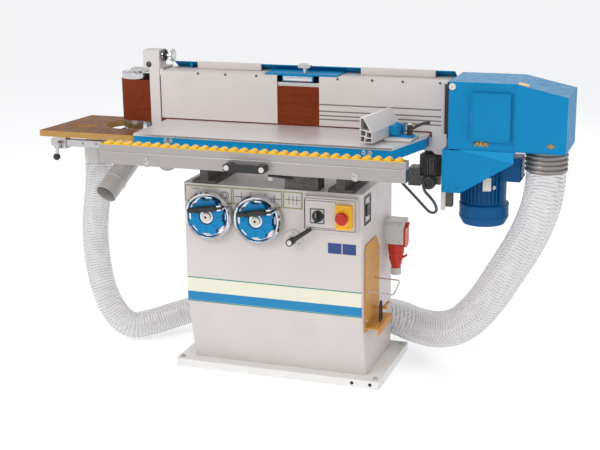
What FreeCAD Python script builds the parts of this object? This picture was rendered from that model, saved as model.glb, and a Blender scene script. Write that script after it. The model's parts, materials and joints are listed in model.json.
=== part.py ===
"""Long-belt edge and drum sander, millimetres.

X runs along the belt to the operator's right, Y points away from the operator, Z is up.
The origin is on the floor, under the middle of the cabinet.
"""
import math
import os

import FreeCAD
import Part

V = FreeCAD.Vector
X_AXIS, Y_AXIS, Z_AXIS = V(1, 0, 0), V(0, 1, 0), V(0, 0, 1)

# ---- driving dimensions ----
TABLE_HEIGHT = 900.0          # table surface above the floor, at its lowest
BELT_WIDTH = 150.0
BELT_THICK = 1.5
DRUM_R = 60.0                 # radius over the belt where it wraps a drum
FACE_Y = -69.0                # plane of the belt's working face
IDLER_X = -575.0              # exposed end drum
DRIVE_X = 705.0               # drive drum, inside the housing
SHEET = 3.0                   # painted sheet steel
GAP = 0.3                     # clearance between bodies that move
RUN_FIT = 0.05                # radial clearance of a shaft in its bearing

CAB_HALF_W = 328.0
CAB_FRONT, CAB_REAR = -190.0, 190.0
CAB_TOP = 700.0
CAB_BEND = 267.0              # height where the front starts to lean back
CAB_TOE = 55.0
PLINTH_H = 30.0
PLINTH_HALF_W = 386.0
PLINTH_FRONT, PLINTH_REAR = -182.0, 232.0
ANCHOR_R = 7.0
ANCHOR_DX, ANCHOR_DY = 736.0, 366.0

TABLE_LEFT, TABLE_CORNER, TABLE_RIGHT = -433.0, 472.0, 529.0
TABLE_FRONT, TABLE_REAR = -350.0, -73.0
TABLE_SHOULDER = -130.0       # where the slanted right end stops
PLATE_T = 9.0
APRON_H = 40.0

RAIL_LEFT, RAIL_RIGHT = -485.0, 555.0
RAIL_FRONT, RAIL_REAR = -500.0, -458.0
RAIL_TOP, RAIL_SEAM, RAIL_BOTTOM = 890.0, 865.0, 825.0
ROLLER_R, ROLLER_COUNT, ROLLER_PITCH = 14.0, 30, 34.0
RAIL_BAR_X = (-314.0, 394.0)
RAIL_BAR_R, RAIL_BAR_Z = 16.0, 836.0

FENCE_TOP, FENCE_BOTTOM = 1070.0, 904.0
FENCE_LEFT = -455.0
WINDOW_LEFT, WINDOW_RIGHT = -14.0, 139.0
FENCE_RIGHT = 585.0
BELT_BOTTOM = 886.0           # the belt reaches a little below the table surface

HOUSE_LEFT, HOUSE_SEAM, HOUSE_RIGHT = 607.0, 820.0, 989.0
HOUSE_FRONT, HOUSE_REAR = -152.0, 70.0
HOUSE_BOTTOM, HOUSE_TOP, HOUSE_TOP_END = 866.0, 1087.0, 1050.0
MOTOR_R = 83.0
WHEEL_R = 88.0
LIFT_WHEEL = (-227.0, 591.0)  # X and Z of the table height handwheel
TILT_WHEEL = (-43.0, 590.0)
CLAMP_AT = (82.0, 525.0)
STOP_AT = (272.0, 626.0)
LEFT_HOSE_R, RIGHT_HOSE_R = 51.0, 67.0
CABLE_R = 5.0
PIVOT_Z = 884.0               # tilt axis, just under the belt
TRUNNION_R = 160.0
HOSE_SEAT = 65.0              # length of the dust pipe's end that a hose slides over, up to a bead
COLUMN_X = 110.0              # middle of the lift column
COLUMN_HALF_W = 60.0
COLUMN_Y = (-185.0, -115.0)
SCREW_Y = -150.0
SCREW_R = 12.0

os.makedirs("parts", exist_ok=True)


# ---- shape helpers ----
def box(x, y, z):
    """A box from three (low, high) pairs."""
    return Part.makeBox(x[1] - x[0], y[1] - y[0], z[1] - z[0], V(x[0], y[0], z[0]))


def rod(start, axis, radius, length):
    return Part.makeCylinder(radius, length, V(*start), axis)


def tube(start, axis, outer, inner, length):
    return rod(start, axis, outer, length).cut(rod(start, axis, inner, length))


def prism(points, depth):
    """The closed outline through points, pushed along the vector depth."""
    corners = [V(*p) for p in points]
    return Part.Face(Part.makePolygon(corners + corners[:1])).extrude(depth)


def turned(outline, centre, axis_turn=None):
    """Revolves an outline of (radius, height) pairs about Z at centre, then turns it."""
    corners = [V(r, 0, h) for r, h in outline]
    solid = Part.Face(Part.makePolygon(corners + corners[:1])).revolve(V(0, 0, 0), Z_AXIS, 360)
    if axis_turn:
        solid.rotate(V(0, 0, 0), *axis_turn)
    solid.translate(V(*centre))
    return solid


def joined(shapes):
    shapes = list(shapes)
    return shapes[0].multiFuse(shapes[1:]).removeSplitter() if len(shapes) > 1 else shapes[0]


def rounded(shape, radius, wanted):
    """Fillets the edges for which wanted(edge centre, edge direction) is true."""
    picked = []
    for edge in shape.Edges:
        if len(edge.Vertexes) == 2:
            along = (edge.Vertexes[1].Point - edge.Vertexes[0].Point).normalize()
            if wanted(edge.CenterOfMass, along):
                picked.append(edge)
    return shape.makeFillet(radius, picked)


def vertical(centre, along):
    return abs(along.z) > 0.99


def along_x(centre, along):
    return abs(along.x) > 0.99


def along_y(centre, along):
    return abs(along.y) > 0.99


def save(name, *shapes):
    shape = shapes[0] if len(shapes) == 1 else Part.makeCompound(list(shapes))
    if not shape.isValid():
        raise ValueError(name + " is not a valid shape")
    shape.exportStep("parts/" + name + ".step")


def bend_radii(points):
    """Each corner's arc radius: 0.45 of the shorter run over the tangent of half the turn."""
    radii = []
    for before, corner, after in zip(points, points[1:], points[2:]):
        run_in, run_out = corner - before, after - corner
        radii.append(0.45 * min(run_in.Length, run_out.Length) / math.tan(run_in.getAngle(run_out) / 2))
    return radii


def hose(name, route, radius):
    """A round solid along straight runs that are joined by tangent arcs."""
    points = [V(*p) for p in route]
    radii = bend_radii(points)
    edges, start = [], points[0]
    for before, corner, after, bend in zip(points, points[1:], points[2:], radii):
        run_in, run_out = (corner - before).normalize(), (after - corner).normalize()
        setback = bend * math.tan(run_in.getAngle(run_out) / 2)
        enter, leave = corner - run_in * setback, corner + run_out * setback
        inward = (run_out - run_in).normalize()
        reach = math.hypot(bend, setback)
        middle = corner + inward * (reach - bend)
        edges += [Part.LineSegment(start, enter).toShape(), Part.Arc(enter, middle, leave).toShape()]
        start = leave
    edges.append(Part.LineSegment(start, points[-1]).toShape())
    path = Part.Wire(edges)
    ring = Part.Wire([Part.makeCircle(radius, points[0], points[1] - points[0])])
    solid = path.makePipeShell([ring], True, False)
    expected = math.pi * radius ** 2 * path.Length
    print(name, "length", round(path.Length), "radii", [round(r) for r in radii],
          "volume ratio", round(solid.Volume / expected, 4))
    save(name, solid)


# ---- base, cabinet and what is fixed to it ----
def make_plinth():
    width, depth = (-PLINTH_HALF_W, PLINTH_HALF_W), (PLINTH_FRONT, PLINTH_REAR)
    wall = 5.0
    tray = box(width, depth, (0, PLINTH_H))
    tray = rounded(tray, 6, vertical)
    inner_width = (width[0] + wall, width[1] - wall)
    inner_depth = (depth[0] + wall, depth[1] - wall)
    tray = tray.cut(box(inner_width, inner_depth, (wall, PLINTH_H - wall)))
    mid_y = (PLINTH_FRONT + PLINTH_REAR) / 2
    for side in (-1, 1):
        for end in (-1, 1):
            at = (side * ANCHOR_DX / 2, mid_y + end * ANCHOR_DY / 2, -1)
            tray = tray.cut(rod(at, Z_AXIS, ANCHOR_R, PLINTH_H + 2))
    save("base_plinth", tray)


def cabinet_side(inset):
    """The cabinet's side outline, every wall moved in by inset."""
    front, rear, x = CAB_FRONT + inset, CAB_REAR - inset, -CAB_HALF_W + inset
    low, high = PLINTH_H + inset, CAB_TOP - inset
    front_wall = [(x, front, high), (x, front, CAB_BEND), (x, front + CAB_TOE, low)]
    return front_wall + [(x, rear, low), (x, rear, high)]


def is_front_corner(centre, along):
    return abs(along.x) < 0.01 and abs(along.y) < 0.5 and centre.y < CAB_FRONT + CAB_TOE


def make_cabinet():
    shell = prism(cabinet_side(0), V(2 * CAB_HALF_W, 0, 0))
    shell = rounded(shell, 8, is_front_corner)
    shell = shell.cut(prism(cabinet_side(SHEET), V(2 * (CAB_HALF_W - SHEET), 0, 0)))
    guide = box((COLUMN_X - 68, COLUMN_X + 68), (CAB_FRONT + SHEET, -107), (CAB_TOP - 220, CAB_TOP - SHEET))
    hole_x = (COLUMN_X - COLUMN_HALF_W - GAP, COLUMN_X + COLUMN_HALF_W + GAP)
    hole_y = (COLUMN_Y[0] - GAP, COLUMN_Y[1] + GAP)
    shell = shell.fuse(guide).cut(box(hole_x, hole_y, (400, CAB_TOP + 1)))
    for x, z in (LIFT_WHEEL, TILT_WHEEL):
        shell = shell.cut(rod((x, CAB_FRONT - 1, z), Y_AXIS, 13, 8))
    save("cabinet_shell", shell)


def make_cradles():
    """Two side plates with a round seat, centred on the tilt axis, in which the belt unit rocks."""
    plates = []
    for x in (-250, 250):
        plate = box((x - 15, x + 15), (-185, 120), (CAB_TOP, 800))
        seat = rod((x - 16, FACE_Y, PIVOT_Z), X_AXIS, TRUNNION_R, 32)
        clear = box((x - 16, x + 16), (FACE_Y + 60, 200), (790, 900))
        foot = box((x - 45, x + 45), (-185, 120), (CAB_TOP, CAB_TOP + 10))
        plates.append(plate.cut(seat).cut(clear).fuse(foot))
    save("trunnion_cradles", *plates)


def make_gearboxes():
    """The case that carries the lift drive to the foot of the screw, and the worm box for the tilt."""
    x, z = LIFT_WHEEL
    inner = CAB_FRONT + SHEET
    upper = box((x - 40, x + 40), (inner, -60), (z - 40, z + 40))
    leg = box((x - 20, x + 20), (-150, -110), (270, z - 40))
    foot = box((x + 20, COLUMN_X + 40), (-175, -125), (270, 300))
    lift = joined([upper, leg, foot]).cut(rod((x, inner - 1, z), Y_AXIS, 10 + RUN_FIT, 97))
    lift = lift.cut(rod((COLUMN_X, SCREW_Y, 280), Z_AXIS, SCREW_R + RUN_FIT, 30))
    x, z = TILT_WHEEL
    tilt = box((x - 35, x + 35), (inner, 0), (z - 45, z + 45))
    tilt = tilt.cut(rod((x, inner - 1, z), Y_AXIS, 10 + RUN_FIT, 147))
    save("screw_gearboxes", lift, tilt)


def make_controls():
    face = CAB_FRONT - 20
    plate = rounded(box((124, 316), (face, CAB_FRONT), (566, 688)), 8, along_y)
    save("control_plate", plate)
    block = rounded(box((244, 301), (face - 22, face), (584, 668)), 6, along_y)
    x, z = STOP_AT
    block = block.cut(rod((x, face - 23, z), Y_AXIS, 9 + GAP, 21))
    save("stop_block", block)
    outline = [(0, 0), (20, 0), (19, 7), (12, 8), (12, 12), (0, 12)]
    knob_base = turned(outline, (177, face, 620), (X_AXIS, 90))
    bar = rounded(box((172, 182), (face - 26, face - 12), (602, 640)), 3, along_y)
    save("switch_knob", knob_base.fuse(bar))
    stem = rod((x, face - 34, z), Y_AXIS, 9, 24)
    mushroom = [(0, 0), (22, 0), (23, 5), (20, 11), (12, 14), (0, 15)]
    head = turned(mushroom, (x, face - 34, z), (X_AXIS, 90))
    save("stop_button", joined([stem, head]))
    x, z = CLAMP_AT
    dial = [(0, 0), (36, 0), (34, 8), (16, 10), (16, 14), (0, 14)]
    save("clamp_disc", turned(dial, (x, CAB_FRONT, z), (X_AXIS, 90)))
    hub = rod((x, CAB_FRONT - 48, z), Y_AXIS, 13, 34 - GAP)
    rise = 35
    taper = [(0, 0), (8.5, 0), (7, 88), (5, 93), (0, 95)]
    arm = turned(taper, (x, CAB_FRONT - 38, z), (Y_AXIS, 90 - rise))
    save("clamp_lever", joined([hub, arm]))


GRIP_PIVOT = (58.0, 41.0)     # the folding grip's pin from its wheel's centre, X and Z
GRIP_LEAN = -9.0              # degrees from level, folded across the wheel
GRIP_LIFT = 42.0              # the grip's axis in front of the wheel's back face


def make_handwheel(prefix, at, shaft_length):
    """A dished chrome rim, a lobed disc in front of its web, and a grip that folds across the wheel."""
    x, z = at
    back = CAB_FRONT - 14
    rim = [(10, 0), (30, 0), (72, -6), (80, 2), (WHEEL_R, 2), (WHEEL_R, -14), (82, -22), (76, -20),
           (70, -14), (30, -10), (24, -24), (10, -24)]
    wheel = turned([(r, -h) for r, h in rim], (x, back, z), (X_AXIS, 90))
    shaft = rod((x, back - 24, z), Y_AXIS, 10, shaft_length)
    pivot = V(x + GRIP_PIVOT[0], back - GRIP_LIFT, z + GRIP_PIVOT[1])

    def placed(shape):
        shape.translate(pivot)
        shape.rotate(pivot, Y_AXIS, GRIP_LEAN)
        return shape

    ears = [placed(box((-8, 8), (-8, GRIP_LIFT - 12), side)) for side in ((-9.5, -4.5), (4.5, 9.5))]
    pin = placed(rod((0, 0, -11), Z_AXIS, 3, 22))
    save(prefix + "_wheel", joined([wheel, shaft, pin] + ears))
    lobes = 8
    disc = rod((x, back - 27, z), Y_AXIS, 58, 9)
    for i in range(lobes):
        turn = math.radians(360 / lobes * (i + 0.5))
        disc = disc.fuse(rod((x + 54 * math.cos(turn), back - 27, z + 54 * math.sin(turn)), Y_AXIS, 13, 9))
    disc = disc.cut(rod((x, back - 28, z), Y_AXIS, 27.5, 11))
    disc = disc.cut(placed(box((-9, 9), (0, GRIP_LIFT - 12), (-10.5, 10.5))))
    save(prefix + "_wheel_disc", disc.removeSplitter())
    outline = [(0, 13), (9, 13), (11, 20), (11, 60), (9, 118), (7, 122), (0, 122)]
    body = turned(outline, (0, 0, 0), (Y_AXIS, -90))
    tongue = box((-20, 6), (-6, 6), (-4.2, 4.2))
    tongue = tongue.fuse(body).cut(rod((0, 0, -12), Z_AXIS, 3 + RUN_FIT, 24))
    save(prefix + "_grip", placed(tongue.removeSplitter()))


def make_side_fittings():
    side = CAB_HALF_W
    back_plate = prism([(side, -165, 200), (side, -165, 490), (side, -150, 514), (side, -30, 514),
                        (side, 12, 470), (side, 12, 200)], V(5, 0, 0))
    shelf = box((side + 5, side + 52), (-165, 12), (214, 219))
    lip = box((side + 47, side + 52), (-165, 12), (194, 214))
    bail = tube((side + 29, -60, 262), X_AXIS, 5, 0.5, 24)
    arm = box((side + 5, side + 45), (-64, -56), (258, 266))
    cross = box((side + 37, side + 45), (-56, 8), (258, 266))
    save("hose_bracket", joined([back_plate, shelf, lip, arm, cross, bail]))
    case = rounded(box((side, side + 72), (76, 160), (455, 540)), 6, along_x)
    save("inlet_box", case)
    x, y = side + 38, 118
    socket = turned([(0, 0), (30, 0), (30, -30), (26, -34), (26, -60), (17, -92), (0, -92)], (x, y, 455))
    gland = turned([(0, 0), (17, 0), (18, -6), (18, -22), (12, -30), (0, -30)], (x, y, 363))
    save("inlet_socket", socket.fuse(gland))
    lid = box((side + 72 + GAP, side + 78), (90, 146), (440, 520))
    lid = rounded(lid, 20, along_x)
    ear = box((side + 72 + GAP, side + 84), (112, 124), (512, 525))
    knuckle = rod((side + 80, 112, 525), Y_AXIS, 7, 12)
    save("inlet_lid", lid.fuse(ear).fuse(knuckle).removeSplitter())


PLENUM = ((-170.0, 170.0), (CAB_REAR, 400.0), (36.0, 330.0))
LEFT_PORT = V(-170, 300, 95)
RIGHT_PORT = V(170, 300, 105)
MAIN_PORT_R = 80.0


def make_plenum():
    """The duct box behind the cabinet that gathers both hoses into one outlet."""
    inner = [(low + SHEET, high - SHEET) for low, high in PLENUM]
    port_inner = MAIN_PORT_R - 2
    outlet_at = (0, PLENUM[1][1], 200)
    shell = box(*PLENUM).fuse(rod(outlet_at, Y_AXIS, MAIN_PORT_R, 60))
    shell = shell.fuse(rod((LEFT_PORT.x - 60, LEFT_PORT.y, LEFT_PORT.z), X_AXIS, LEFT_HOSE_R - 3, 60))
    shell = shell.fuse(rod(RIGHT_PORT, X_AXIS, RIGHT_HOSE_R - 3, 60))
    shell = shell.cut(box(*inner))
    shell = shell.cut(rod((0, PLENUM[1][1] - 10, 200), Y_AXIS, port_inner, 80))
    shell = shell.cut(rod((LEFT_PORT.x - 61, LEFT_PORT.y, LEFT_PORT.z), X_AXIS, LEFT_HOSE_R - 6, 71))
    shell = shell.cut(rod((RIGHT_PORT.x - 10, RIGHT_PORT.y, RIGHT_PORT.z), X_AXIS, RIGHT_HOSE_R - 6, 71))
    save("extraction_plenum", shell)


# ---- table, roller rail and mitre guide ----
def table_outline(inset, z):
    slope = (TABLE_RIGHT - TABLE_CORNER) / (TABLE_SHOULDER - TABLE_FRONT)
    corner_x = TABLE_CORNER - inset + slope * inset
    return [(TABLE_LEFT + inset, TABLE_FRONT + inset, z), (corner_x, TABLE_FRONT + inset, z),
            (TABLE_RIGHT - inset, TABLE_SHOULDER, z), (TABLE_RIGHT - inset, TABLE_REAR - inset, z),
            (TABLE_LEFT + inset, TABLE_REAR - inset, z)]


def make_table():
    under = TABLE_HEIGHT - PLATE_T
    plate = prism(table_outline(0, under), V(0, 0, PLATE_T))
    save("table_plate", plate)
    apron = prism(table_outline(2, under - APRON_H + 6), V(0, 0, APRON_H - 6))
    apron = apron.cut(prism(table_outline(2 + SHEET, 0), V(0, 0, 2 * TABLE_HEIGHT)))
    for x in RAIL_BAR_X:
        notch_y = (TABLE_FRONT - 1, TABLE_FRONT + 20)
        apron = apron.cut(box((x - 28, x + 28), notch_y, (850, RAIL_BAR_Z + 22)))
    save("table_apron", apron)
    wall = 6
    column = box((COLUMN_X - COLUMN_HALF_W, COLUMN_X + COLUMN_HALF_W), COLUMN_Y, (420, 865))
    hollow_x = (COLUMN_X - COLUMN_HALF_W + wall, COLUMN_X + COLUMN_HALF_W - wall)
    column = column.cut(box(hollow_x, (COLUMN_Y[0] + wall, COLUMN_Y[1] - wall), (430, 866)))
    column = column.cut(rod((COLUMN_X, SCREW_Y, 419), Z_AXIS, SCREW_R + RUN_FIT, 12))
    crossbeam = box((-330, 410), (-200, -110), (865, under))
    crossbeam = crossbeam.cut(box((-320, 400), (-192, -118), (864, under - wall)))
    parts = [column, crossbeam]
    for x in RAIL_BAR_X:
        parts.append(box((x - 26, x + 26), (TABLE_FRONT + 10, -250), (812, 862)))
        parts.append(box((x - 8, x + 8), (-300, -190), (840, under)))
    carrier = joined(parts)
    for x in RAIL_BAR_X:
        carrier = carrier.cut(rod((x, TABLE_FRONT, RAIL_BAR_Z), Y_AXIS, RAIL_BAR_R + RUN_FIT, 260))
    save("table_carrier", carrier)
    screw = rod((COLUMN_X, SCREW_Y, 282), Z_AXIS, SCREW_R, 458)
    collar = rod((COLUMN_X, SCREW_Y, 300 + GAP), Z_AXIS, 22, 14)
    save("lift_screw", screw.fuse(collar))


def make_rail():
    length = (RAIL_LEFT, RAIL_RIGHT)
    beam = box(length, (RAIL_FRONT, RAIL_REAR), (RAIL_BOTTOM, RAIL_SEAM))
    beam = beam.cut(box((length[0] - 1, length[1] + 1), (RAIL_FRONT + SHEET, RAIL_REAR - SHEET),
                        (RAIL_BOTTOM + SHEET, RAIL_SEAM - SHEET)))
    channel = box(length, (RAIL_FRONT + 2, RAIL_REAR - 2), (RAIL_SEAM, RAIL_TOP))
    trough = box((length[0] + 3, length[1] - 3), (RAIL_FRONT + 5, RAIL_REAR - 5), (RAIL_SEAM + 2, 900))
    channel = channel.cut(trough)
    rail = beam.fuse(channel)
    for x in RAIL_BAR_X:
        rail = rail.cut(rod((x, RAIL_FRONT + SHEET + 1, RAIL_BAR_Z), Y_AXIS, RAIL_BAR_R, 60))
    save("roller_rail", rail)
    first = (RAIL_LEFT + RAIL_RIGHT - (ROLLER_COUNT - 1) * ROLLER_PITCH) / 2
    axis_z = TABLE_HEIGHT - 1 - ROLLER_R
    rollers = []
    for i in range(ROLLER_COUNT):
        at = (first + i * ROLLER_PITCH, RAIL_FRONT + 5, axis_z)
        body = rod((at[0], at[1] + 0.5, at[2]), Y_AXIS, ROLLER_R, RAIL_REAR - RAIL_FRONT - 11)
        rollers.append(body.fuse(rod(at, Y_AXIS, 3, RAIL_REAR - RAIL_FRONT - 10)))
    save("rail_rollers", *rollers)
    bars = [rod((x, RAIL_FRONT + SHEET + 1, RAIL_BAR_Z), Y_AXIS, RAIL_BAR_R, 386) for x in RAIL_BAR_X]
    save("rail_bars", *bars)
    left, right, z = -30.0, 110.0, 845.0
    grip = rounded(box((left, right), (RAIL_FRONT - 34, RAIL_FRONT), (z - 13, z + 13)), 8, along_y)
    finger_gap = box((left + 24, right - 24), (RAIL_FRONT - 22, RAIL_FRONT + 1), (z - 14, z + 14))
    save("rail_handle", grip.cut(finger_gap))


MITRE_PIVOT = V(492, -205, TABLE_HEIGHT)
MITRE_ANGLE = -10.0


def swung(shape):
    shape.rotate(MITRE_PIVOT, Z_AXIS, MITRE_ANGLE)
    return shape


def make_mitre():
    top = TABLE_HEIGHT
    x, y = MITRE_PIVOT.x, MITRE_PIVOT.y
    base = box((424, 512), (-262, -160), (top, top + 8))
    save("mitre_base", base.cut(rod((x, y, top), Z_AXIS, 6 + RUN_FIT, 10)))
    low = top + 9
    section = [(384, low), (428, low), (428, low + 34), (398, low + 80), (384, low + 80)]
    profile = prism([(across, -352, z) for across, z in section], V(0, 205, 0))
    hollows = [[(387, low + 42), (421, low + 38), (396, low + 77), (387, low + 77)],
               [(387, low + 22), (404, low + 22), (404, low + 37), (387, low + 39)],
               [(387, low + 3), (400, low + 3), (400, low + 19), (387, low + 19)],
               [(408, low + 18), (425, low + 18), (425, low + 33), (408, low + 35)],
               [(404, low + 3), (425, low + 3), (425, low + 14), (404, low + 14)]]
    for hollow in hollows:
        profile = profile.cut(prism([(across, -353, z) for across, z in hollow], V(0, 207, 0)))
    save("mitre_profile", swung(profile))
    arm = box((428, 506), (-222, -190), (low, low + 7))
    arm = arm.cut(rod((x, y, low - 1), Z_AXIS, 6 + RUN_FIT, 10))
    clamp = box((428, 462), (-228, -170), (low + 7, low + 36))
    clamp = clamp.cut(box((436, 463), (-206, -192), (low + 9, low + 37)))
    save("mitre_clamp", swung(arm.fuse(clamp).removeSplitter()))
    post = rod((x, y, top + 0.5), Z_AXIS, 6, 30)
    boss = rod((x, y, low + 7 + GAP), Z_AXIS, 9, 36)
    lever = Part.makeCone(6, 4.5, 62, V(x, y, low + 38), V(0.93, 0.1, 0.35))
    save("mitre_lever", joined([post, boss, lever]))


# ---- belt unit, which leans back about the belt's lower edge ----
BEAM = ((-490.0, HOUSE_LEFT), (-29.0, 71.0), (830.0, 880.0))
PLATEN_RIB_X = (-380, 60, 500)
RIB_FOOT = 896.0


def make_unit_frame():
    beam = box(*BEAM).cut(box((BEAM[0][0] - 1, BEAM[0][1] + 1), (-25, 67), (834, 876)))
    wedge_keep = (FACE_Y + 20, 60.0)
    parts = [beam]
    for x in (-250, 250):
        seat = rod((x - 14, FACE_Y, PIVOT_Z), X_AXIS, TRUNNION_R - GAP, 28)
        parts.append(seat.common(box((x - 15, x + 15), wedge_keep, (700, BEAM[2][0]))))
    for x in PLATEN_RIB_X:
        parts.append(box((x - 6, x + 14), (-45, 45), (880, RIB_FOOT)))
    save("unit_beam", joined(parts))


def make_fence():
    """Guard panels just in front of the belt, either side of the working window."""
    skin = (FACE_Y - GAP - SHEET, FACE_Y - GAP)
    shelf_y, shelf_z = (skin[0], 50), (FENCE_TOP, FENCE_TOP + SHEET)
    left = box((FENCE_LEFT, WINDOW_LEFT), skin, (FENCE_BOTTOM, FENCE_TOP))
    save("fence_left", left.fuse(box((FENCE_LEFT, WINDOW_LEFT), shelf_y, shelf_z)).removeSplitter())
    outline = [(WINDOW_RIGHT, FENCE_BOTTOM), (TABLE_RIGHT + 6, FENCE_BOTTOM), (TABLE_RIGHT + 6, 840),
               (548, 828), (572, 828), (FENCE_RIGHT, 840), (FENCE_RIGHT, FENCE_TOP),
               (WINDOW_RIGHT, FENCE_TOP)]
    panel = prism([(x, skin[0], z) for x, z in outline], V(0, SHEET, 0))
    for z in (978, 955, 940, 927):
        panel = panel.cut(box((WINDOW_RIGHT - 1, 566), (skin[0] - 1, skin[0] + 1), (z - 2.2, z + 2.2)))
    shelf = box((WINDOW_RIGHT, FENCE_RIGHT), shelf_y, shelf_z)
    save("fence_right", panel.fuse(shelf).removeSplitter())


def make_belt():
    top = BELT_BOTTOM + BELT_WIDTH
    inner_r = DRUM_R - BELT_THICK
    front, rear = FACE_Y, FACE_Y + 2 * DRUM_R
    axis_y = FACE_Y + DRUM_R

    def loop(radius, z, height):
        middle = box((IDLER_X, DRIVE_X), (axis_y - radius, axis_y + radius), (z, z + height))
        ends = [rod((x, axis_y, z), Z_AXIS, radius, height) for x in (IDLER_X, DRIVE_X)]
        return joined([middle] + ends)

    belt = loop(DRUM_R, BELT_BOTTOM, BELT_WIDTH).cut(loop(inner_r, BELT_BOTTOM - 1, BELT_WIDTH + 2))
    save("sanding_belt", belt)
    platen = box((-440, 560), (front + BELT_THICK + 0.2, front + 14), (BELT_BOTTOM + 2, top + 13))
    rib_y = (front + 14, rear - BELT_THICK - 2)
    ribs = [box((x, x + 8), rib_y, (RIB_FOOT, FENCE_TOP)) for x in PLATEN_RIB_X]
    save("platen", joined([platen] + ribs))
    drive = rod((DRIVE_X, axis_y, BELT_BOTTOM - 6), Z_AXIS, inner_r - 0.05, BELT_WIDTH + 12)
    shaft = rod((DRIVE_X, axis_y, 870), Z_AXIS, 15, 185)
    save("drive_drum", drive.fuse(shaft))
    idler_foot = (IDLER_X, axis_y, BELT_BOTTOM - 33)
    idler = tube(idler_foot, Z_AXIS, inner_r - 0.05, 15 + RUN_FIT, BELT_WIDTH + 52)
    save("idler_drum", idler)


def make_idler_support():
    """The idler's shaft and its two arms, the post that guards the belt edge, and the tracking knob."""
    axis_y = FACE_Y + DRUM_R
    shaft = rod((IDLER_X, axis_y, 835), Z_AXIS, 15, 236)
    arm_top = box((IDLER_X - 20, -514), (axis_y - 16, axis_y + 16), (1059, 1071))
    arm_low = box((IDLER_X - 20, -514), (axis_y - 16, axis_y + 16), (835, 848))
    save("idler_bracket", joined([shaft, arm_top, arm_low]))
    left, right = -496, -458
    face = box((left, right), (FACE_Y - 8, FACE_Y - 2), (868, FENCE_TOP + 10))
    low = box((-480, right), (FACE_Y - 8, BEAM[1][0]), (868, 876))
    roof = box((left, right), (FACE_Y - 8, 45), (FENCE_TOP + 6, FENCE_TOP + 10))
    back = box((left, right), (35, 45), (BEAM[2][1], FENCE_TOP + 6))
    head = box((-519, -456), (FACE_Y - 8, -20), (FENCE_TOP + 10, 1145))
    bore = rod((-520, -45, 1125), X_AXIS, 6 + RUN_FIT, 70)
    bolt_hole = rod((-497, FACE_Y - 9, 1094), Y_AXIS, 7, 10)
    save("belt_post", joined([face, low, roof, back, head]).cut(bore).cut(bolt_hole))
    screw = rod((-519, -45, 1125), X_AXIS, 6, 106)
    outline = [(0, 0), (14, 0), (22, 4), (22, 8), (14, 11), (0, 11)]
    wheels = [turned(outline, (x, -45, 1125), (Y_AXIS, 90)) for x in (-455, -424)]
    save("tracking_knob", joined([screw] + wheels))


def make_covers():
    rear_y = FACE_Y + 2 * DRUM_R + 6
    length = (-440.0, 590.0)
    section = [(rear_y, 884), (rear_y, 1074), (20, 1096), (20, 1093), (rear_y - 3, 1071), (rear_y - 3, 884)]
    cover = prism([(length[0], y, z) for y, z in section], V(length[1] - length[0], 0, 0))
    ribs = [box((x, x + 8), (20, 46), (FENCE_TOP + SHEET, 1090)) for x in PLATEN_RIB_X]
    bridge = box((-60, 200), (-66, 40), (FENCE_TOP + SHEET, FENCE_TOP + 9))
    tab = box((4, 116), (-66, -60), (1052, FENCE_TOP + SHEET))
    bridge = bridge.fuse(tab).cut(rod((80, -48, 1060), Z_AXIS, 7 + RUN_FIT, 40))
    save("rear_cover", joined([cover, bridge] + ribs))
    stem = rod((80, -48, 1066), Z_AXIS, 7, 34)
    bar = rounded(box((58, 102), (-58, -38), (1098, 1112)), 6, along_y)
    save("platen_knob", joined([stem, bar]))


def house_outline(inset):
    y = HOUSE_FRONT + inset
    return [(HOUSE_LEFT + inset, y, HOUSE_BOTTOM + inset), (HOUSE_RIGHT - inset, y, HOUSE_BOTTOM + inset),
            (HOUSE_RIGHT - inset, y, HOUSE_TOP_END - inset), (HOUSE_SEAM, y, HOUSE_TOP - inset),
            (HOUSE_LEFT + inset, y, HOUSE_TOP - inset)]


RIGHT_COLLAR = V(914, -40, 0)   # where the right hose's collar stands, seen from above


def make_housing():
    depth = HOUSE_REAR - HOUSE_FRONT
    shell = prism(house_outline(0), V(0, depth, 0))
    shell = shell.cut(prism(house_outline(SHEET), V(0, depth - 2 * SHEET, 0)))
    slot_y = (FACE_Y - 4, FACE_Y + 2 * DRUM_R + 4)
    shell = shell.cut(box((HOUSE_LEFT - 1, HOUSE_LEFT + SHEET + 1), slot_y, (882, 1050)))
    shell = shell.cut(rod((DRIVE_X, FACE_Y + DRUM_R, HOUSE_BOTTOM - 1), Z_AXIS, 22, 10))
    shell = shell.cut(rod(RIGHT_COLLAR + V(0, 0, HOUSE_BOTTOM - 1), Z_AXIS, RIGHT_HOSE_R - 6, 10))
    shell = shell.cut(box((696, 798), (HOUSE_FRONT - 1, HOUSE_FRONT + 10), (912, 1044)))
    save("drive_housing", shell)
    door = box((683, 811), (HOUSE_FRONT - 14, HOUSE_FRONT - GAP), (899, 1056))
    door = door.cut(box((686, 808), (HOUSE_FRONT - 11, HOUSE_FRONT), (902, 1053)))
    knuckles = [rod((683, HOUSE_FRONT - 14, z), Z_AXIS, 3, 24) for z in (920, 1010)]
    save("housing_door", joined([door] + knuckles))
    front = HOUSE_FRONT
    left, right, top, low = 588, 823, 862, 719
    outline = [(left, top), (left, low), (650, low), (right, 827), (right, top)]
    skirt = prism([(x, front, z) for x, z in outline], V(0, SHEET, 0))
    wing = box((left, left + SHEET), (front + SHEET, -32), (low, top))
    shelf = box((left + SHEET, right), (front + SHEET, -32), (top - 4, top))
    motor_hole = rod((DRIVE_X, FACE_Y + DRUM_R, 840), Z_AXIS, 88, 40)
    save("lower_shroud", joined([skirt, wing, shelf]).cut(motor_hole))
    foot = RIGHT_COLLAR + V(0, 0, 786)
    collar = tube(foot, Z_AXIS, RIGHT_HOSE_R - 4, RIGHT_HOSE_R - 7, HOUSE_BOTTOM - 786)
    save("right_collar", collar)


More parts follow.
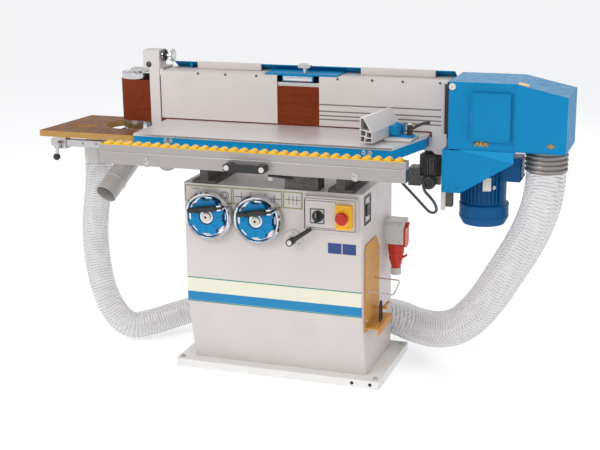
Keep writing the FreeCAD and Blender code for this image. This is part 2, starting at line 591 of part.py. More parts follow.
def make_motors():
    y = FACE_Y + DRUM_R
    outline = [(0, 866), (86, 866), (86, 852), (74, 846), (74, 665), (MOTOR_R, 660), (MOTOR_R, 612),
               (72, 590), (40, 582), (0, 582)]
    motor = turned(outline, (DRIVE_X, y, 0))
    motor = motor.cut(rod((DRIVE_X, y, 840), Z_AXIS, 16, 40))
    terminal = box((DRIVE_X + 60, DRIVE_X + 126), (y - 45, y + 35), (745, 826))
    terminal = terminal.cut(rod((DRIVE_X, y, 700), Z_AXIS, 60, 160))
    save("main_motor", motor.fuse(terminal).removeSplitter())
    gear_y = 22.0
    case = rod((515, gear_y, 738), Z_AXIS, 36, 72)
    gearbox = box((440, 482), (gear_y - 32, gear_y + 32), (700, 762))
    neck = rod((515, gear_y - 45, 716), Y_AXIS, 20, 80)
    base = box((478, 552), (gear_y - 32, gear_y + 32), (708, 738))
    hanger = box((490, 540), (gear_y - 5, gear_y + 25), (810, BEAM[2][0]))
    save("gear_motor", joined([case, gearbox, base, neck, hanger]))


HOOD = ((-690.0, -480.0), (10.0, 150.0), (735.0, 826.0))
LEFT_COLLAR = V(-795, 60, 690)  # the elbow's lower mouth
DUCT_R = 44.0
PIPE_R = 40.0


def make_extraction():
    shell = box(*HOOD).cut(box((-687, -483), (13, 147), (738, 827)))
    link = box((-480, -470), (10, 71), (800, 826))
    tab = box((-500, -440), (13, 60), (806, 830))
    turn_at = V(LEFT_COLLAR.x, LEFT_COLLAR.y, 780)
    outer, inner = DUCT_R, DUCT_R - SHEET
    duct = rod(turn_at, X_AXIS, outer, HOOD[0][0] - turn_at.x)
    drop = rod(LEFT_COLLAR, Z_AXIS, outer, turn_at.z - LEFT_COLLAR.z)
    band = rod(LEFT_COLLAR + V(0, 0, 10), Z_AXIS, 50, 56)
    elbow = joined([duct, Part.makeSphere(outer, turn_at), drop, band])
    across = rod(turn_at, X_AXIS, inner, 130)
    down = rod(LEFT_COLLAR - V(0, 0, 1), Z_AXIS, inner, turn_at.z - LEFT_COLLAR.z + 1)
    elbow = elbow.cut(joined([across, Part.makeSphere(inner, turn_at), down]))
    shell = shell.cut(rod((HOOD[0][0] - 1, turn_at.y, turn_at.z), X_AXIS, inner, 20))
    mouth, inner_end = V(-643, -178, 632), V(-600, 20, 770)
    along = inner_end - mouth
    bore = PIPE_R - 2
    pipe = Part.makeCylinder(PIPE_R, along.Length, mouth, along)
    pipe = pipe.cut(Part.makeCylinder(bore, along.Length + 2, mouth, along))
    pipe = pipe.cut(box(HOOD[0], (HOOD[1][0], 400), (600, 900)))
    bead = Part.makeCylinder(PIPE_R + 3, 6, mouth + along * (HOSE_SEAT / along.Length), along)
    bead = bead.cut(Part.makeCylinder(PIPE_R - 1, along.Length, mouth, along))
    save("dust_pipe", pipe.fuse(bead))
    shell = shell.cut(Part.makeCylinder(bore, along.Length, mouth, along))
    save("drum_hood", joined([shell, link, tab, elbow]))


# ---- wooden end table on the belt unit ----
BOARD_TOP, BOARD_T = 862.0, 22.0
BOARD_LEFT_FRONT, BOARD_LEFT_REAR = -878.0, -842.0
BOARD_RIGHT = -486.0
BOARD_FRONT, BOARD_REAR = -212.0, 112.0


def make_end_table():
    low = BOARD_TOP - BOARD_T
    corner = 22
    outline = [(BOARD_LEFT_FRONT, BOARD_FRONT), (BOARD_RIGHT - corner, BOARD_FRONT),
               (BOARD_RIGHT, BOARD_FRONT + corner), (BOARD_RIGHT, BOARD_REAR), (BOARD_LEFT_REAR, BOARD_REAR)]
    board = prism([(x, y, low) for x, y in outline], V(0, 0, BOARD_T))
    cut_front, cut_rear, cut_x = -111.0, 77.0, IDLER_X - 30
    hole = rod((cut_x, (cut_front + cut_rear) / 2, low - 1), Z_AXIS, (cut_rear - cut_front) / 2, BOARD_T + 2)
    opening = box((cut_x, BOARD_RIGHT + 1), (cut_front, cut_rear), (low - 1, low + BOARD_T + 1))
    lens_middle, lens_r, half_width = V(-760, -97, low - 1), 110.0, 20.0
    lens_turn = math.radians(19)
    offset = V(-math.sin(lens_turn), math.cos(lens_turn), 0) * (lens_r - half_width)
    lens = rod(lens_middle - offset, Z_AXIS, lens_r, BOARD_T + 2)
    lens = lens.common(rod(lens_middle + offset, Z_AXIS, lens_r, BOARD_T + 2))
    save("end_table", board.cut(hole.fuse(opening)).cut(lens))
    bar_y, bar_z = (-142.5, -117.5), (792, 817)
    shoe = box((-866, -800), (-160, -100), (low - 6, low))
    grip = box((-862, -812), (-148, -112), (784, low - 6))
    bar_fit = [(side[0] - GAP, side[1] + GAP) for side in (bar_y, bar_z)]
    grip = grip.cut(box((-863, -811), *bar_fit))
    save("end_table_shoe", joined([shoe, grip]))
    bar = box((-876, -500), bar_y, bar_z)
    save("end_table_bar", bar.fuse(box((-530, -500), (bar_y[1], HOOD[1][0]), bar_z)).removeSplitter())
    hub_at = V(-837, -168, 803)
    arm_start = hub_at + V(0, 6, 0)
    hub = rod(hub_at, Y_AXIS, 9, 20 - GAP)
    arm = Part.makeCone(7, 5.5, 44, arm_start, V(-0.15, 0, -1))
    ball = Part.makeSphere(12, arm_start + V(-7, 0, -48))
    save("end_table_lever", joined([hub, arm, ball]))


# ---- hoses and cable ----
LEFT_ROUTE = [(-795, 60, 690), (-795, 60, 610), (-828, 62, 450), (-822, 56, 290), (-778, 38, 140),
              (-676, 2, 54), (-592, 66, 64), (-516, 186, 74), (-420, 270, 88), (-320, 300, 95),
              (-230, 300, 95)]
RIGHT_ROUTE = [(914, -40, 786), (914, -40, 700), (862, -4, 550), (776, 40, 396), (700, 82, 262),
               (604, 134, 148), (500, 184, 106), (404, 240, 100), (316, 300, 105), (230, 300, 105)]
CABLE_ROUTE = [(265, 60, 765), (300, 60, 765), (350, 46, 742), (404, 32, 700), (460, 18, 652),
               (498, 8, 618), (518, 4, 602), (540, 2, 608), (536, 2, 634), (514, 5, 660), (488, 10, 682),
               (488, 10, 708)]


make_plinth()
make_cabinet()
make_cradles()
make_gearboxes()
make_controls()
make_handwheel("lift", LIFT_WHEEL, 118)
make_handwheel("tilt", TILT_WHEEL, 168)
make_side_fittings()
make_plenum()
make_table()
make_rail()
make_mitre()
make_unit_frame()
make_fence()
make_belt()
make_idler_support()
make_covers()
make_housing()
make_motors()
make_extraction()
make_end_table()
hose("left_hose", LEFT_ROUTE, LEFT_HOSE_R)
hose("right_hose", RIGHT_ROUTE, RIGHT_HOSE_R)
hose("gear_motor_cable", CABLE_ROUTE, CABLE_R)
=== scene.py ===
"""The looks of the long-belt edge sander, in metres, in the same frame as the solids."""
import json
import math

import bmesh
import bpy
from mathutils import Matrix, Vector


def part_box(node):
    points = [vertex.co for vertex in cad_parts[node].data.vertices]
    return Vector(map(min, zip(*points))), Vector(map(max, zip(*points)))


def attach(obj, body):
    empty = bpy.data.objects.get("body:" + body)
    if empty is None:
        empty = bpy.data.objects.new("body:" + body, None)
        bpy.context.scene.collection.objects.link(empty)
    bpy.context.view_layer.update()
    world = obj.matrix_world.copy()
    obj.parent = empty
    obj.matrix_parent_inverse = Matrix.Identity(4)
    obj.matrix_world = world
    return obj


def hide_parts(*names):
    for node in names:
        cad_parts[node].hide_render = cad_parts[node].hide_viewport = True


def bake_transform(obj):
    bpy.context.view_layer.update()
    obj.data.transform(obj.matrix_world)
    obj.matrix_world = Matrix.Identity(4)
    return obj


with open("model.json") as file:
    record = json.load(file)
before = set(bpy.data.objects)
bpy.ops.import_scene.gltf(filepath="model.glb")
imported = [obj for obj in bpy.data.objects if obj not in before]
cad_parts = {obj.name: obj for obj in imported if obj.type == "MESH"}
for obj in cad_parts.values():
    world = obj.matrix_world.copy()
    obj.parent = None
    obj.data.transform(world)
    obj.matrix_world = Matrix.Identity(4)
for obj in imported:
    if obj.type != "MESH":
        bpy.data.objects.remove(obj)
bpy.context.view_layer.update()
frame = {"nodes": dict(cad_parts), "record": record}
nodes = frame["nodes"]

X, Y, Z = Vector((1, 0, 0)), Vector((0, 1, 0)), Vector((0, 0, 1))
SLOT_OF = {p["node"]: p["material_slot"] for p in frame["record"]["subparts"]}


def srgb(red, green, blue):
    """A linear colour from 0 to 255 screen values."""
    out = []
    for value in (red, green, blue):
        v = value / 255
        out.append(v / 12.92 if v <= 0.04045 else ((v + 0.055) / 1.055) ** 2.4)
    return (*out, 1.0)


# ---- colours ----
WHITE = srgb(213, 205, 202)
BLUE = srgb(2, 130, 184)
TEAL = srgb(46, 140, 128)
DARK = srgb(30, 30, 32)
CREAM = srgb(233, 230, 210)

# ---- the main surface dimensions ----
EDGE_ROUND = 0.0012         # radius that softens every shaded edge
COAT_GLOSS = 0.12
GRAIN_DEPTH = 0.0006        # height of the fine surface relief
LINE_Z = 0.3505, 0.3545     # the thin line over the cream zone of the cabinet's stripes
CREAM_Z = 0.300, 0.351
BAND_Z = 0.267, 0.300       # the blue band under it
LOW_LINE_Z = 0.262, 0.2662
PLY_LAYER = 0.0044          # thickness of one layer in the wooden table's edge


# ---- materials ----
class Nodes:
    """A short way to add and link shader nodes."""

    def __init__(self, name):
        self.material = bpy.data.materials.new(name)
        self.material.use_nodes = True
        self.tree = self.material.node_tree
        self.shader = self.tree.nodes["Principled BSDF"]
        self.coords = self.add("ShaderNodeTexCoord").outputs

    def add(self, kind, **values):
        node = self.tree.nodes.new(kind)
        for key, value in values.items():
            if hasattr(node, key):
                setattr(node, key, value)
            else:
                node.inputs[key.replace("_", " ")].default_value = value
        return node

    def link(self, source, target):
        self.tree.links.new(source, target)

    def noise(self, scale, detail=3.0, stretch=None):
        source = self.coords["Object"]
        if stretch:
            mapping = self.add("ShaderNodeMapping")
            mapping.inputs["Scale"].default_value = stretch
            self.link(source, mapping.inputs["Vector"])
            source = mapping.outputs["Vector"]
        node = self.add("ShaderNodeTexNoise", Scale=scale, Detail=detail)
        self.link(source, node.inputs["Vector"])
        return node.outputs["Fac"]

    def ranged(self, source, low, high, from_low=0.3, from_high=0.7):
        node = self.add("ShaderNodeMapRange")
        self.link(source, node.inputs["Value"])
        settings = {"From Min": from_low, "From Max": from_high, "To Min": low, "To Max": high}
        for key, value in settings.items():
            node.inputs[key].default_value = value
        return node.outputs["Result"]

    def math(self, operation, first, second):
        node = self.add("ShaderNodeMath", operation=operation)
        for socket, value in zip(node.inputs, (first, second)):
            if isinstance(value, (int, float)):
                socket.default_value = value
            else:
                self.link(value, socket)
        return node.outputs[0]

    def mix(self, factor, first, second, blend="MIX"):
        node = self.add("ShaderNodeMix", data_type="RGBA", blend_type=blend)
        for index, value in ((0, factor), (6, first), (7, second)):
            if isinstance(value, (int, float, tuple)):
                node.inputs[index].default_value = value
            else:
                self.link(value, node.inputs[index])
        return node.outputs[2]


def finish_of(name, colour, rough, metallic=0.0, mottle=0.05, grain=700.0, bump=0.05, stretch=None,
              wear=None, coat=0.0, alpha=1.0, painter=None, specular=0.5):
    """A surface with cloudy colour, uneven gloss, fine grain and softened, slightly worn edges."""
    n = Nodes(name)
    base = painter(n) if painter else colour
    cloud = n.ranged(n.noise(9.0), 1 - mottle, 1.0)
    grey = n.add("ShaderNodeCombineColor")
    for channel in ("Red", "Green", "Blue"):
        n.link(cloud, grey.inputs[channel])
    tinted = n.mix(1.0, base, grey.outputs["Color"], "MULTIPLY")
    bevel = n.add("ShaderNodeBevel", samples=4)
    bevel.inputs["Radius"].default_value = EDGE_ROUND
    if wear:
        geometry = n.add("ShaderNodeNewGeometry")
        turn = n.add("ShaderNodeVectorMath", operation="DOT_PRODUCT")
        n.link(bevel.outputs["Normal"], turn.inputs[0])
        n.link(geometry.outputs["Normal"], turn.inputs[1])
        edge = n.ranged(turn.outputs["Value"], 0.7, 0.0, 0.85, 0.99)
        broken = n.math("MULTIPLY", edge, n.ranged(n.noise(60.0), 0.2, 1.0))
        tinted = n.mix(broken, tinted, wear)
    n.link(tinted, n.shader.inputs["Base Color"])
    n.link(n.ranged(n.noise(35.0, stretch=stretch), rough * 0.8, min(1.0, rough * 1.25)),
           n.shader.inputs["Roughness"])
    relief = n.add("ShaderNodeBump", Strength=bump, Distance=GRAIN_DEPTH)
    n.link(n.noise(grain, stretch=stretch), relief.inputs["Height"])
    n.link(bevel.outputs["Normal"], relief.inputs["Normal"])
    n.link(relief.outputs["Normal"], n.shader.inputs["Normal"])
    n.shader.inputs["Metallic"].default_value = metallic
    n.shader.inputs["Coat Weight"].default_value = coat
    n.shader.inputs["Coat Roughness"].default_value = COAT_GLOSS
    n.shader.inputs["Specular IOR Level"].default_value = specular
    n.shader.inputs["Alpha"].default_value = alpha
    return n.material


def inside_range(n, value, low, high):
    """One between low and high, zero outside."""
    return n.math("MULTIPLY", n.math("GREATER_THAN", value, low), n.math("LESS_THAN", value, high))


def cabinet_painter(n):
    """Level stripes round the cabinet's front: a thin line, a cream zone, a blue band, a thin line."""
    split = n.add("ShaderNodeSeparateXYZ")
    n.link(n.coords["Object"], split.inputs[0])
    facing = n.add("ShaderNodeSeparateXYZ")
    n.link(n.coords["Normal"], facing.inputs[0])
    front = n.math("LESS_THAN", facing.outputs["Y"], -0.6)
    colour = WHITE
    stripes = ((CREAM_Z, CREAM), (LINE_Z, TEAL), (BAND_Z, BLUE), (LOW_LINE_Z, TEAL))
    for (low, high), paint in stripes:
        factor = n.math("MULTIPLY", inside_range(n, split.outputs["Z"], low, high), front)
        colour = n.mix(factor, colour, paint)
    return colour


def belt_painter(n):
    """Red-brown grit with paler worn streaks along the belt."""
    streaks = n.ranged(n.noise(14.0, 5.0, (0.5, 0.5, 9.0)), 0.0, 0.5)
    speckle = n.ranged(n.noise(1600.0, 2.0), 0.0, 0.45)
    colour = n.mix(streaks, srgb(122, 44, 8), srgb(146, 68, 18))
    return n.mix(speckle, colour, srgb(88, 28, 5))


def board_painter(n):
    """Brown laminate on both faces and light ply layers round the edges."""
    facing = n.add("ShaderNodeSeparateXYZ")
    n.link(n.coords["Normal"], facing.inputs[0])
    flat = n.math("GREATER_THAN", n.math("ABSOLUTE", facing.outputs["Z"], 0.0), 0.7)
    grain = n.ranged(n.noise(11.0, 6.0, (1.0, 14.0, 1.0)), 0.0, 1.0)
    laminate = n.mix(grain, srgb(106, 58, 20), srgb(150, 92, 38))
    split = n.add("ShaderNodeSeparateXYZ")
    n.link(n.coords["Object"], split.inputs[0])
    layers = n.math("FRACT", n.math("MULTIPLY", split.outputs["Z"], 1 / PLY_LAYER), 0.0)
    ply = n.mix(n.ranged(layers, 0.0, 1.0, 0.42, 0.58), srgb(196, 158, 92), srgb(158, 112, 58))
    return n.mix(flat, ply, laminate)


def casting_painter(n):
    """The mottled grey of a rough casting."""
    return n.mix(n.ranged(n.noise(120.0), 0.0, 1.0), srgb(70, 68, 65), srgb(104, 101, 96))


STREAKS_X = (0.6, 30.0, 30.0)   # stretches the grain of drawn or ground metal along X
MATERIALS = {
    "white_paint": finish_of("white_paint", WHITE, 0.42, bump=0.06, wear=srgb(206, 200, 194)),
    "cabinet_paint": finish_of("cabinet_paint", WHITE, 0.42, bump=0.06, painter=cabinet_painter),
    "plinth_paint": finish_of("plinth_paint", srgb(236, 234, 231), 0.45, bump=0.06,
                              wear=srgb(190, 186, 180)),
    "blue_paint": finish_of("blue_paint", BLUE, 0.42, bump=0.05, wear=srgb(60, 168, 214), specular=0.16),
    "motor_paint": finish_of("motor_paint", srgb(0, 84, 138), 0.38, bump=0.06, wear=srgb(20, 110, 160),
                             specular=0.2),
    "yellow_paint": finish_of("yellow_paint", srgb(206, 146, 66), 0.5, bump=0.06,
                              wear=srgb(240, 200, 130)),
    "ground_steel": finish_of("ground_steel", srgb(226, 222, 221), 0.4, 0.4, stretch=STREAKS_X,
                              grain=90.0, bump=0.06, wear=srgb(245, 245, 245)),
    "bright_steel": finish_of("bright_steel", srgb(200, 198, 196), 0.28, 0.9, stretch=STREAKS_X, grain=90.0,
                              wear=srgb(240, 240, 240)),
    "chrome": finish_of("chrome", srgb(214, 214, 217), 0.12, 1.0, mottle=0.02, bump=0.01),
    "aluminium": finish_of("aluminium", srgb(172, 166, 164), 0.38, 0.55, stretch=STREAKS_X, grain=80.0,
                           wear=srgb(235, 232, 230)),
    "cast_grey": finish_of("cast_grey", DARK, 0.6, 0.3, grain=260.0, bump=0.3, painter=casting_painter),
    "gear_paint": finish_of("gear_paint", DARK, 0.5, 0.25, grain=240.0, bump=0.25, painter=casting_painter),
    "galvanised": finish_of("galvanised", srgb(206, 203, 200), 0.42, 0.45, mottle=0.15, grain=60.0,
                            bump=0.08),
    "abrasive": finish_of("abrasive", BLUE, 0.85, grain=2600.0, bump=0.9, painter=belt_painter,
                          specular=0.25),
    "board": finish_of("board", BLUE, 0.42, grain=300.0, bump=0.08, painter=board_painter, specular=0.3),
    "roller_yellow": finish_of("roller_yellow", srgb(246, 196, 40), 0.35, bump=0.04,
                               wear=srgb(255, 226, 120)),
    "blue_plastic": finish_of("blue_plastic", srgb(2, 132, 190), 0.36, bump=0.05, specular=0.25),
    "black_plastic": finish_of("black_plastic", srgb(34, 34, 36), 0.42, grain=1200.0, bump=0.12,
                               wear=srgb(78, 78, 80)),
    "grey_plastic": finish_of("grey_plastic", srgb(204, 203, 198), 0.5, grain=1200.0, bump=0.1),
    "yellow_plastic": finish_of("yellow_plastic", srgb(250, 188, 20), 0.35, wear=srgb(255, 220, 110)),
    "red_plastic": finish_of("red_plastic", srgb(196, 38, 12), 0.34, wear=srgb(224, 96, 66)),
    "cable_jacket": finish_of("cable_jacket", srgb(92, 94, 97), 0.5, bump=0.1),
    "hose_wall": finish_of("hose_wall", srgb(214, 213, 215), 0.2, mottle=0.05, alpha=0.42, specular=0.6),
    "hose_rib": finish_of("hose_rib", srgb(226, 223, 223), 0.3, mottle=0.08, alpha=0.9),
    "line_green": finish_of("line_green", srgb(146, 156, 84), 0.5),
    "line_dark": finish_of("line_dark", srgb(72, 76, 78), 0.5),
    "label_pale": finish_of("label_pale", srgb(226, 222, 214), 0.4, mottle=0.15),
    "label_blue": finish_of("label_blue", srgb(40, 66, 128), 0.4),
    "collar_grey": finish_of("collar_grey", srgb(150, 143, 139), 0.4, 0.5, wear=srgb(214, 210, 206)),
    "groove_grey": finish_of("groove_grey", srgb(120, 113, 110), 0.5),
    "brass": finish_of("brass", srgb(168, 146, 96), 0.35, 0.9),
    # painted highlight: a lighter copy of the blue paint, used only on the flat triangle that stands for the
    # lit facet of the shroud
    "blue_light": finish_of("blue_light", srgb(14, 144, 198), 0.4, bump=0.05, specular=0.18),
}
CREASE = 32.0                   # edges sharper than this many degrees stay sharp
SOFT_EDGE = 0.0008              # the usual bevel of a small block
NODE_FINISH = {"cabinet_shell": "cabinet_paint", "left_hose": "hose_rib", "right_hose": "hose_rib",
               "right_collar": "collar_grey", "mitre_profile": "ground_steel"}


def dress(obj, finish, crease=CREASE):
    """One finish over the whole piece, smooth except at edges sharper than crease degrees."""
    obj.data.materials.clear()
    obj.data.materials.append(MATERIALS[finish])
    obj.data.polygons.foreach_set("use_smooth", [True] * len(obj.data.polygons))
    obj.data.set_sharp_from_angle(angle=math.radians(crease))


for node, obj in nodes.items():
    slot = SLOT_OF[node]
    dress(obj, NODE_FINISH.get(node) or (slot if slot in MATERIALS else "hose_rib"))


# ---- mesh helpers ----
def link(name, data):
    """A new object in the scene that holds data."""
    obj = bpy.data.objects.new(name, data)
    bpy.context.scene.collection.objects.link(obj)
    return obj


def piece(name, bm, body, finish, crease=CREASE):
    """Turns bm into a finished piece that moves with body."""
    mesh = bpy.data.meshes.new(name)
    bm.normal_update()
    bm.to_mesh(mesh)
    bm.free()
    obj = link(name, mesh)
    dress(obj, finish, crease)
    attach(obj, body)
    return obj


def add_block(bm, low, high, bevel=SOFT_EDGE, turn=None):
    """A box between two corners with softened edges; turn is a matrix applied last."""
    low, high = Vector(low), Vector(high)
    made = bmesh.ops.create_cube(bm, size=1.0)["verts"]
    for v in made:
        v.co = Vector((low[i] + (v.co[i] + 0.5) * (high[i] - low[i]) for i in range(3)))
    if turn:
        bmesh.ops.transform(bm, matrix=turn, verts=made)
    if bevel:
        edges = list({e for v in made for e in v.link_edges})
        bmesh.ops.bevel(bm, geom=edges, offset=bevel, segments=2, affect="EDGES", profile=0.6)


def basis(axis):
    """Two directions square to axis and each other, then the axis itself."""
    axis = Vector(axis).normalized()
    side = axis.cross(Z if abs(axis.z) < 0.9 else X).normalized()
    return side, axis.cross(side), axis


def around(count, part=1.0, ends=0):
    """Evenly spaced angles over part of a turn, with the last one too where ends is 1."""
    return [2 * math.pi * part * i / count for i in range(count + ends)]


def add_turned(bm, profile, at, axis, count=32):
    """A closed body of revolution from (radius, height) pairs along axis, starting at at."""
    side, other, axis = basis(axis)
    at = Vector(at)
    rings = []
    for radius, height in profile:
        centre = at + axis * height
        if radius < 1e-6:
            rings.append([bm.verts.new(centre)])
            continue
        rings.append([bm.verts.new(centre + side * radius * math.cos(t) + other * radius * math.sin(t))
                      for t in around(count)])
    for first, second in zip(rings, rings[1:]):
        for i in range(count):
            k = (i + 1) % count
            corners = [first[i % len(first)], first[k % len(first)], second[k % len(second)],
                       second[i % len(second)]]
            corners = list(dict.fromkeys(corners))
            if len(corners) > 2:
                bm.faces.new(corners)
    bmesh.ops.recalc_face_normals(bm, faces=bm.faces)


SCREW_PROFILE = [(0, -0.2), (1.35, -0.2), (1.35, 0.14), (1, 0.16), (0.96, 0.5), (0.7, 0.72), (0.42, 0.74),
                 (0.38, 0.2), (0, 0.2)]


def add_screw(bm, at, axis, radius):
    """A low domed head with a socket in it, standing on a washer."""
    add_turned(bm, [(out * radius, up * radius) for out, up in SCREW_PROFILE], at, axis, 20)


def add_tube(bm, points, radius, count=14):
    """A round bar along points, with closed ends."""
    points = [Vector(p) for p in points]
    side = None
    rings = []
    for i, point in enumerate(points):
        ahead = (points[min(i + 1, len(points) - 1)] - points[max(i - 1, 0)]).normalized()
        if side is None:
            side = basis(ahead)[0]
        side = (side - ahead * side.dot(ahead)).normalized()
        other = ahead.cross(side)
        rings.append([bm.verts.new(point + (side * math.cos(t) + other * math.sin(t)) * radius)
                      for t in around(count)])
    for first, second in zip(rings, rings[1:]):
        for i in range(count):
            k = (i + 1) % count
            bm.faces.new([first[i], first[k], second[k], second[i]])
    bm.faces.new(rings[0])
    bm.faces.new(rings[-1])
    bmesh.ops.recalc_face_normals(bm, faces=bm.faces)


def add_frame(bm, x, z, y, width, depth=0.0006):
    """A thin upright rectangle of four strips standing on the plane y, facing the operator."""
    (left, right), (low, high) = x, z
    strips = [((left, low), (right, low + width)), ((left, high - width), (right, high)),
              ((left, low + width), (left + width, high - width)),
              ((right - width, low + width), (right, high - width))]
    for (x0, z0), (x1, z1) in strips:
        add_block(bm, (x0, y - depth, z0), (x1, y + depth, z1), 0)


def screws(name, body, axis, radius, spots, finish="bright_steel"):
    """One piece made of equal screws, one at each spot."""
    bm = bmesh.new()
    for spot in spots:
        add_screw(bm, spot, axis, radius)
    return piece(name, bm, body, finish)


def lathes(name, body, finish, profile, places, axis, count=48, crease=CREASE):
    """One piece made of equal turned bodies, one at each place."""
    bm = bmesh.new()
    for at in places:
        add_turned(bm, profile, at, axis, count)
    return piece(name, bm, body, finish, crease)


def lathe(name, body, finish, profile, at, axis, count=48):
    return lathes(name, body, finish, profile, [at], axis, count)


def prism(name, body, finish, front, back):
    """A flat plate between two outlines that have the same number of corners."""
    bm = bmesh.new()
    front, back = [bm.verts.new(at) for at in front], [bm.verts.new(at) for at in back]
    bm.faces.new(front)
    bm.faces.new(back)
    for i in range(len(front)):
        k = (i + 1) % len(front)
        bm.faces.new([front[i], front[k], back[k], back[i]])
    bmesh.ops.recalc_face_normals(bm, faces=bm.faces)
    return piece(name, bm, body, finish)


def blocks(name, body, finish, boxes, bevel=SOFT_EDGE):
    """One piece made of boxes, each given by its two corners."""
    bm = bmesh.new()
    for low, high in boxes:
        add_block(bm, low, high, bevel)
    return piece(name, bm, body, finish)


# ---- hoses and cable ----
LEFT_ROUTE = [(-0.795, 0.060, 0.690), (-0.795, 0.060, 0.610), (-0.828, 0.062, 0.450), (-0.822, 0.056, 0.290),
              (-0.778, 0.038, 0.140), (-0.676, 0.002, 0.054), (-0.592, 0.066, 0.064), (-0.516, 0.186, 0.074),
              (-0.420, 0.270, 0.088), (-0.320, 0.300, 0.095), (-0.230, 0.300, 0.095)]
RIGHT_ROUTE = [(0.914, -0.040, 0.786), (0.914, -0.040, 0.700), (0.862, -0.004, 0.550), (0.776, 0.040, 0.396),
               (0.700, 0.082, 0.262), (0.604, 0.134, 0.148), (0.500, 0.184, 0.106), (0.404, 0.240, 0.100),
               (0.316, 0.300, 0.105), (0.230, 0.300, 0.105)]
CABLE_ROUTE = [(0.265, 0.060, 0.765), (0.300, 0.060, 0.765), (0.350, 0.046, 0.742), (0.404, 0.032, 0.700),
               (0.460, 0.018, 0.652), (0.498, 0.008, 0.618), (0.518, 0.004, 0.602), (0.540, 0.002, 0.608),
               (0.536, 0.002, 0.634), (0.514, 0.005, 0.660), (0.488, 0.010, 0.682), (0.488, 0.010, 0.708)]
LEFT_R, RIGHT_R, CABLE_R = 0.051, 0.067, 0.005
LEFT_PITCH, RIGHT_PITCH = 0.0105, 0.0135    # how far the rib advances in one turn
WAVE = 0.0018                               # how far the rib stands out from the wall's middle
RIB_FROM = 0.3                              # the wave's height where the rib's own finish starts
CABLE_STEP = 0.004
CLAMP_GAP = 0.0003
CUFF_Z = 0.790, 0.806, 0.822, 0.838
CUFF_INSET = 0.0035


def smooth_line(route, step):
    """Points along the route's smooth curve, evenly about step apart."""
    data = bpy.data.curves.new("route", "CURVE")
    data.dimensions = "3D"
    spline = data.splines.new("NURBS")
    spline.points.add(len(route) - 1)
    for point, at in zip(spline.points, route):
        point.co = (*at, 1.0)
    spline.order_u = 3
    spline.use_endpoint_u = True
    data.resolution_u = 24
    holder = bpy.data.objects.new("route", data)
    bpy.context.scene.collection.objects.link(holder)
    line = [v.co.copy() for v in bpy.data.meshes.new_from_object(holder).vertices]
    bpy.data.objects.remove(holder)
    length = sum((b - a).length for a, b in zip(line, line[1:]))
    count = max(2, round(length / step))
    out, walked, k = [], 0.0, 0
    for i in range(count + 1):
        target = length * i / count
        while k < len(line) - 2 and walked + (line[k + 1] - line[k]).length < target:
            walked += (line[k + 1] - line[k]).length
            k += 1
        span = (line[k + 1] - line[k]).length
        out.append(line[k].lerp(line[k + 1], min(1.0, (target - walked) / span)))
    return out, length


def hose(name, node, route, radius, pitch, count=40):
    """A thin clear wall with one round rib that winds along it as a helix."""
    steps = 6
    line, length = smooth_line(route, pitch / steps)
    mesh = bpy.data.meshes.new(name)
    verts, faces, ribs = [], [], []
    side = None
    for i, point in enumerate(line):
        ahead = (line[min(i + 1, len(line) - 1)] - line[max(i - 1, 0)]).normalized()
        side = basis(ahead)[0] if side is None else side
        side = (side - ahead * side.dot(ahead)).normalized()
        other = ahead.cross(side)
        for k in range(count):
            turn = 2 * math.pi * k / count
            wave = math.cos(2 * math.pi * i / steps + turn)
            reach = radius - WAVE + WAVE * wave
            verts.append(point + (side * math.cos(turn) + other * math.sin(turn)) * reach)
    for i in range(len(line) - 1):
        for k in range(count):
            n = (k + 1) % count
            faces.append((i * count + k, i * count + n, (i + 1) * count + n, (i + 1) * count + k))
            wave = math.cos(2 * math.pi * (i + 0.5) / steps + 2 * math.pi * (k + 0.5) / count)
            ribs.append(wave > RIB_FROM)
    mesh.from_pydata(verts, [], faces)
    mesh.materials.append(MATERIALS["hose_wall"])
    mesh.materials.append(MATERIALS["hose_rib"])
    mesh.polygons.foreach_set("material_index", [int(r) for r in ribs])
    mesh.polygons.foreach_set("use_smooth", [True] * len(faces))
    obj = link(name, mesh)
    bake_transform(obj)
    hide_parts(node)


def cable(name, node, route, radius):
    """A round cable that hangs in a loop."""
    line, length = smooth_line(route, CABLE_STEP)
    bm = bmesh.new()
    add_tube(bm, line, radius, 20)
    mesh = bpy.data.meshes.new(name)
    bm.to_mesh(mesh)
    bm.free()
    obj = link(name, mesh)
    dress(obj, "cable_jacket")
    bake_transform(obj)
    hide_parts(node)


def hose_clamp(name, body, at, axis, radius):
    """A steel band with its worm housing."""
    bm = bmesh.new()
    r = radius + CLAMP_GAP
    add_turned(bm, [(r, 0), (r + 0.0015, 0), (r + 0.0015, 0.012), (r, 0.012), (r, 0)], at, axis, 48)
    side, other, axis = basis(axis)
    spot = Vector(at) + side * (r + 0.004) + axis * 0.006
    add_turned(bm, [(0, -0.011), (0.005, -0.011), (0.005, 0.011), (0, 0.011)], spot, other, 16)
    piece(name, bm, body, "bright_steel")


def make_flexible():
    hose("left_spiral_hose", "left_hose", LEFT_ROUTE, LEFT_R, LEFT_PITCH)
    hose("right_spiral_hose", "right_hose", RIGHT_ROUTE, RIGHT_R, RIGHT_PITCH)
    cable("gear_cable", "gear_motor_cable", CABLE_ROUTE, CABLE_R)
    hose_clamp("left_port_clamp", "base", (-0.246, *LEFT_ROUTE[-1][1:]), X, LEFT_R)
    hose_clamp("right_port_clamp", "base", (0.234, *RIGHT_ROUTE[-1][1:]), X, RIGHT_R)
    r = RIGHT_R - CUFF_INSET
    ring = [(r, 0), (r + 0.006, 0.001), (r + 0.0075, 0.005), (r + 0.006, 0.009), (r, 0.010), (r, 0)]
    for i, z in enumerate(CUFF_Z):
        lathe(f"right_cuff_{i}", "unit", "collar_grey", ring, (*RIGHT_ROUTE[0][:2], z), Z)


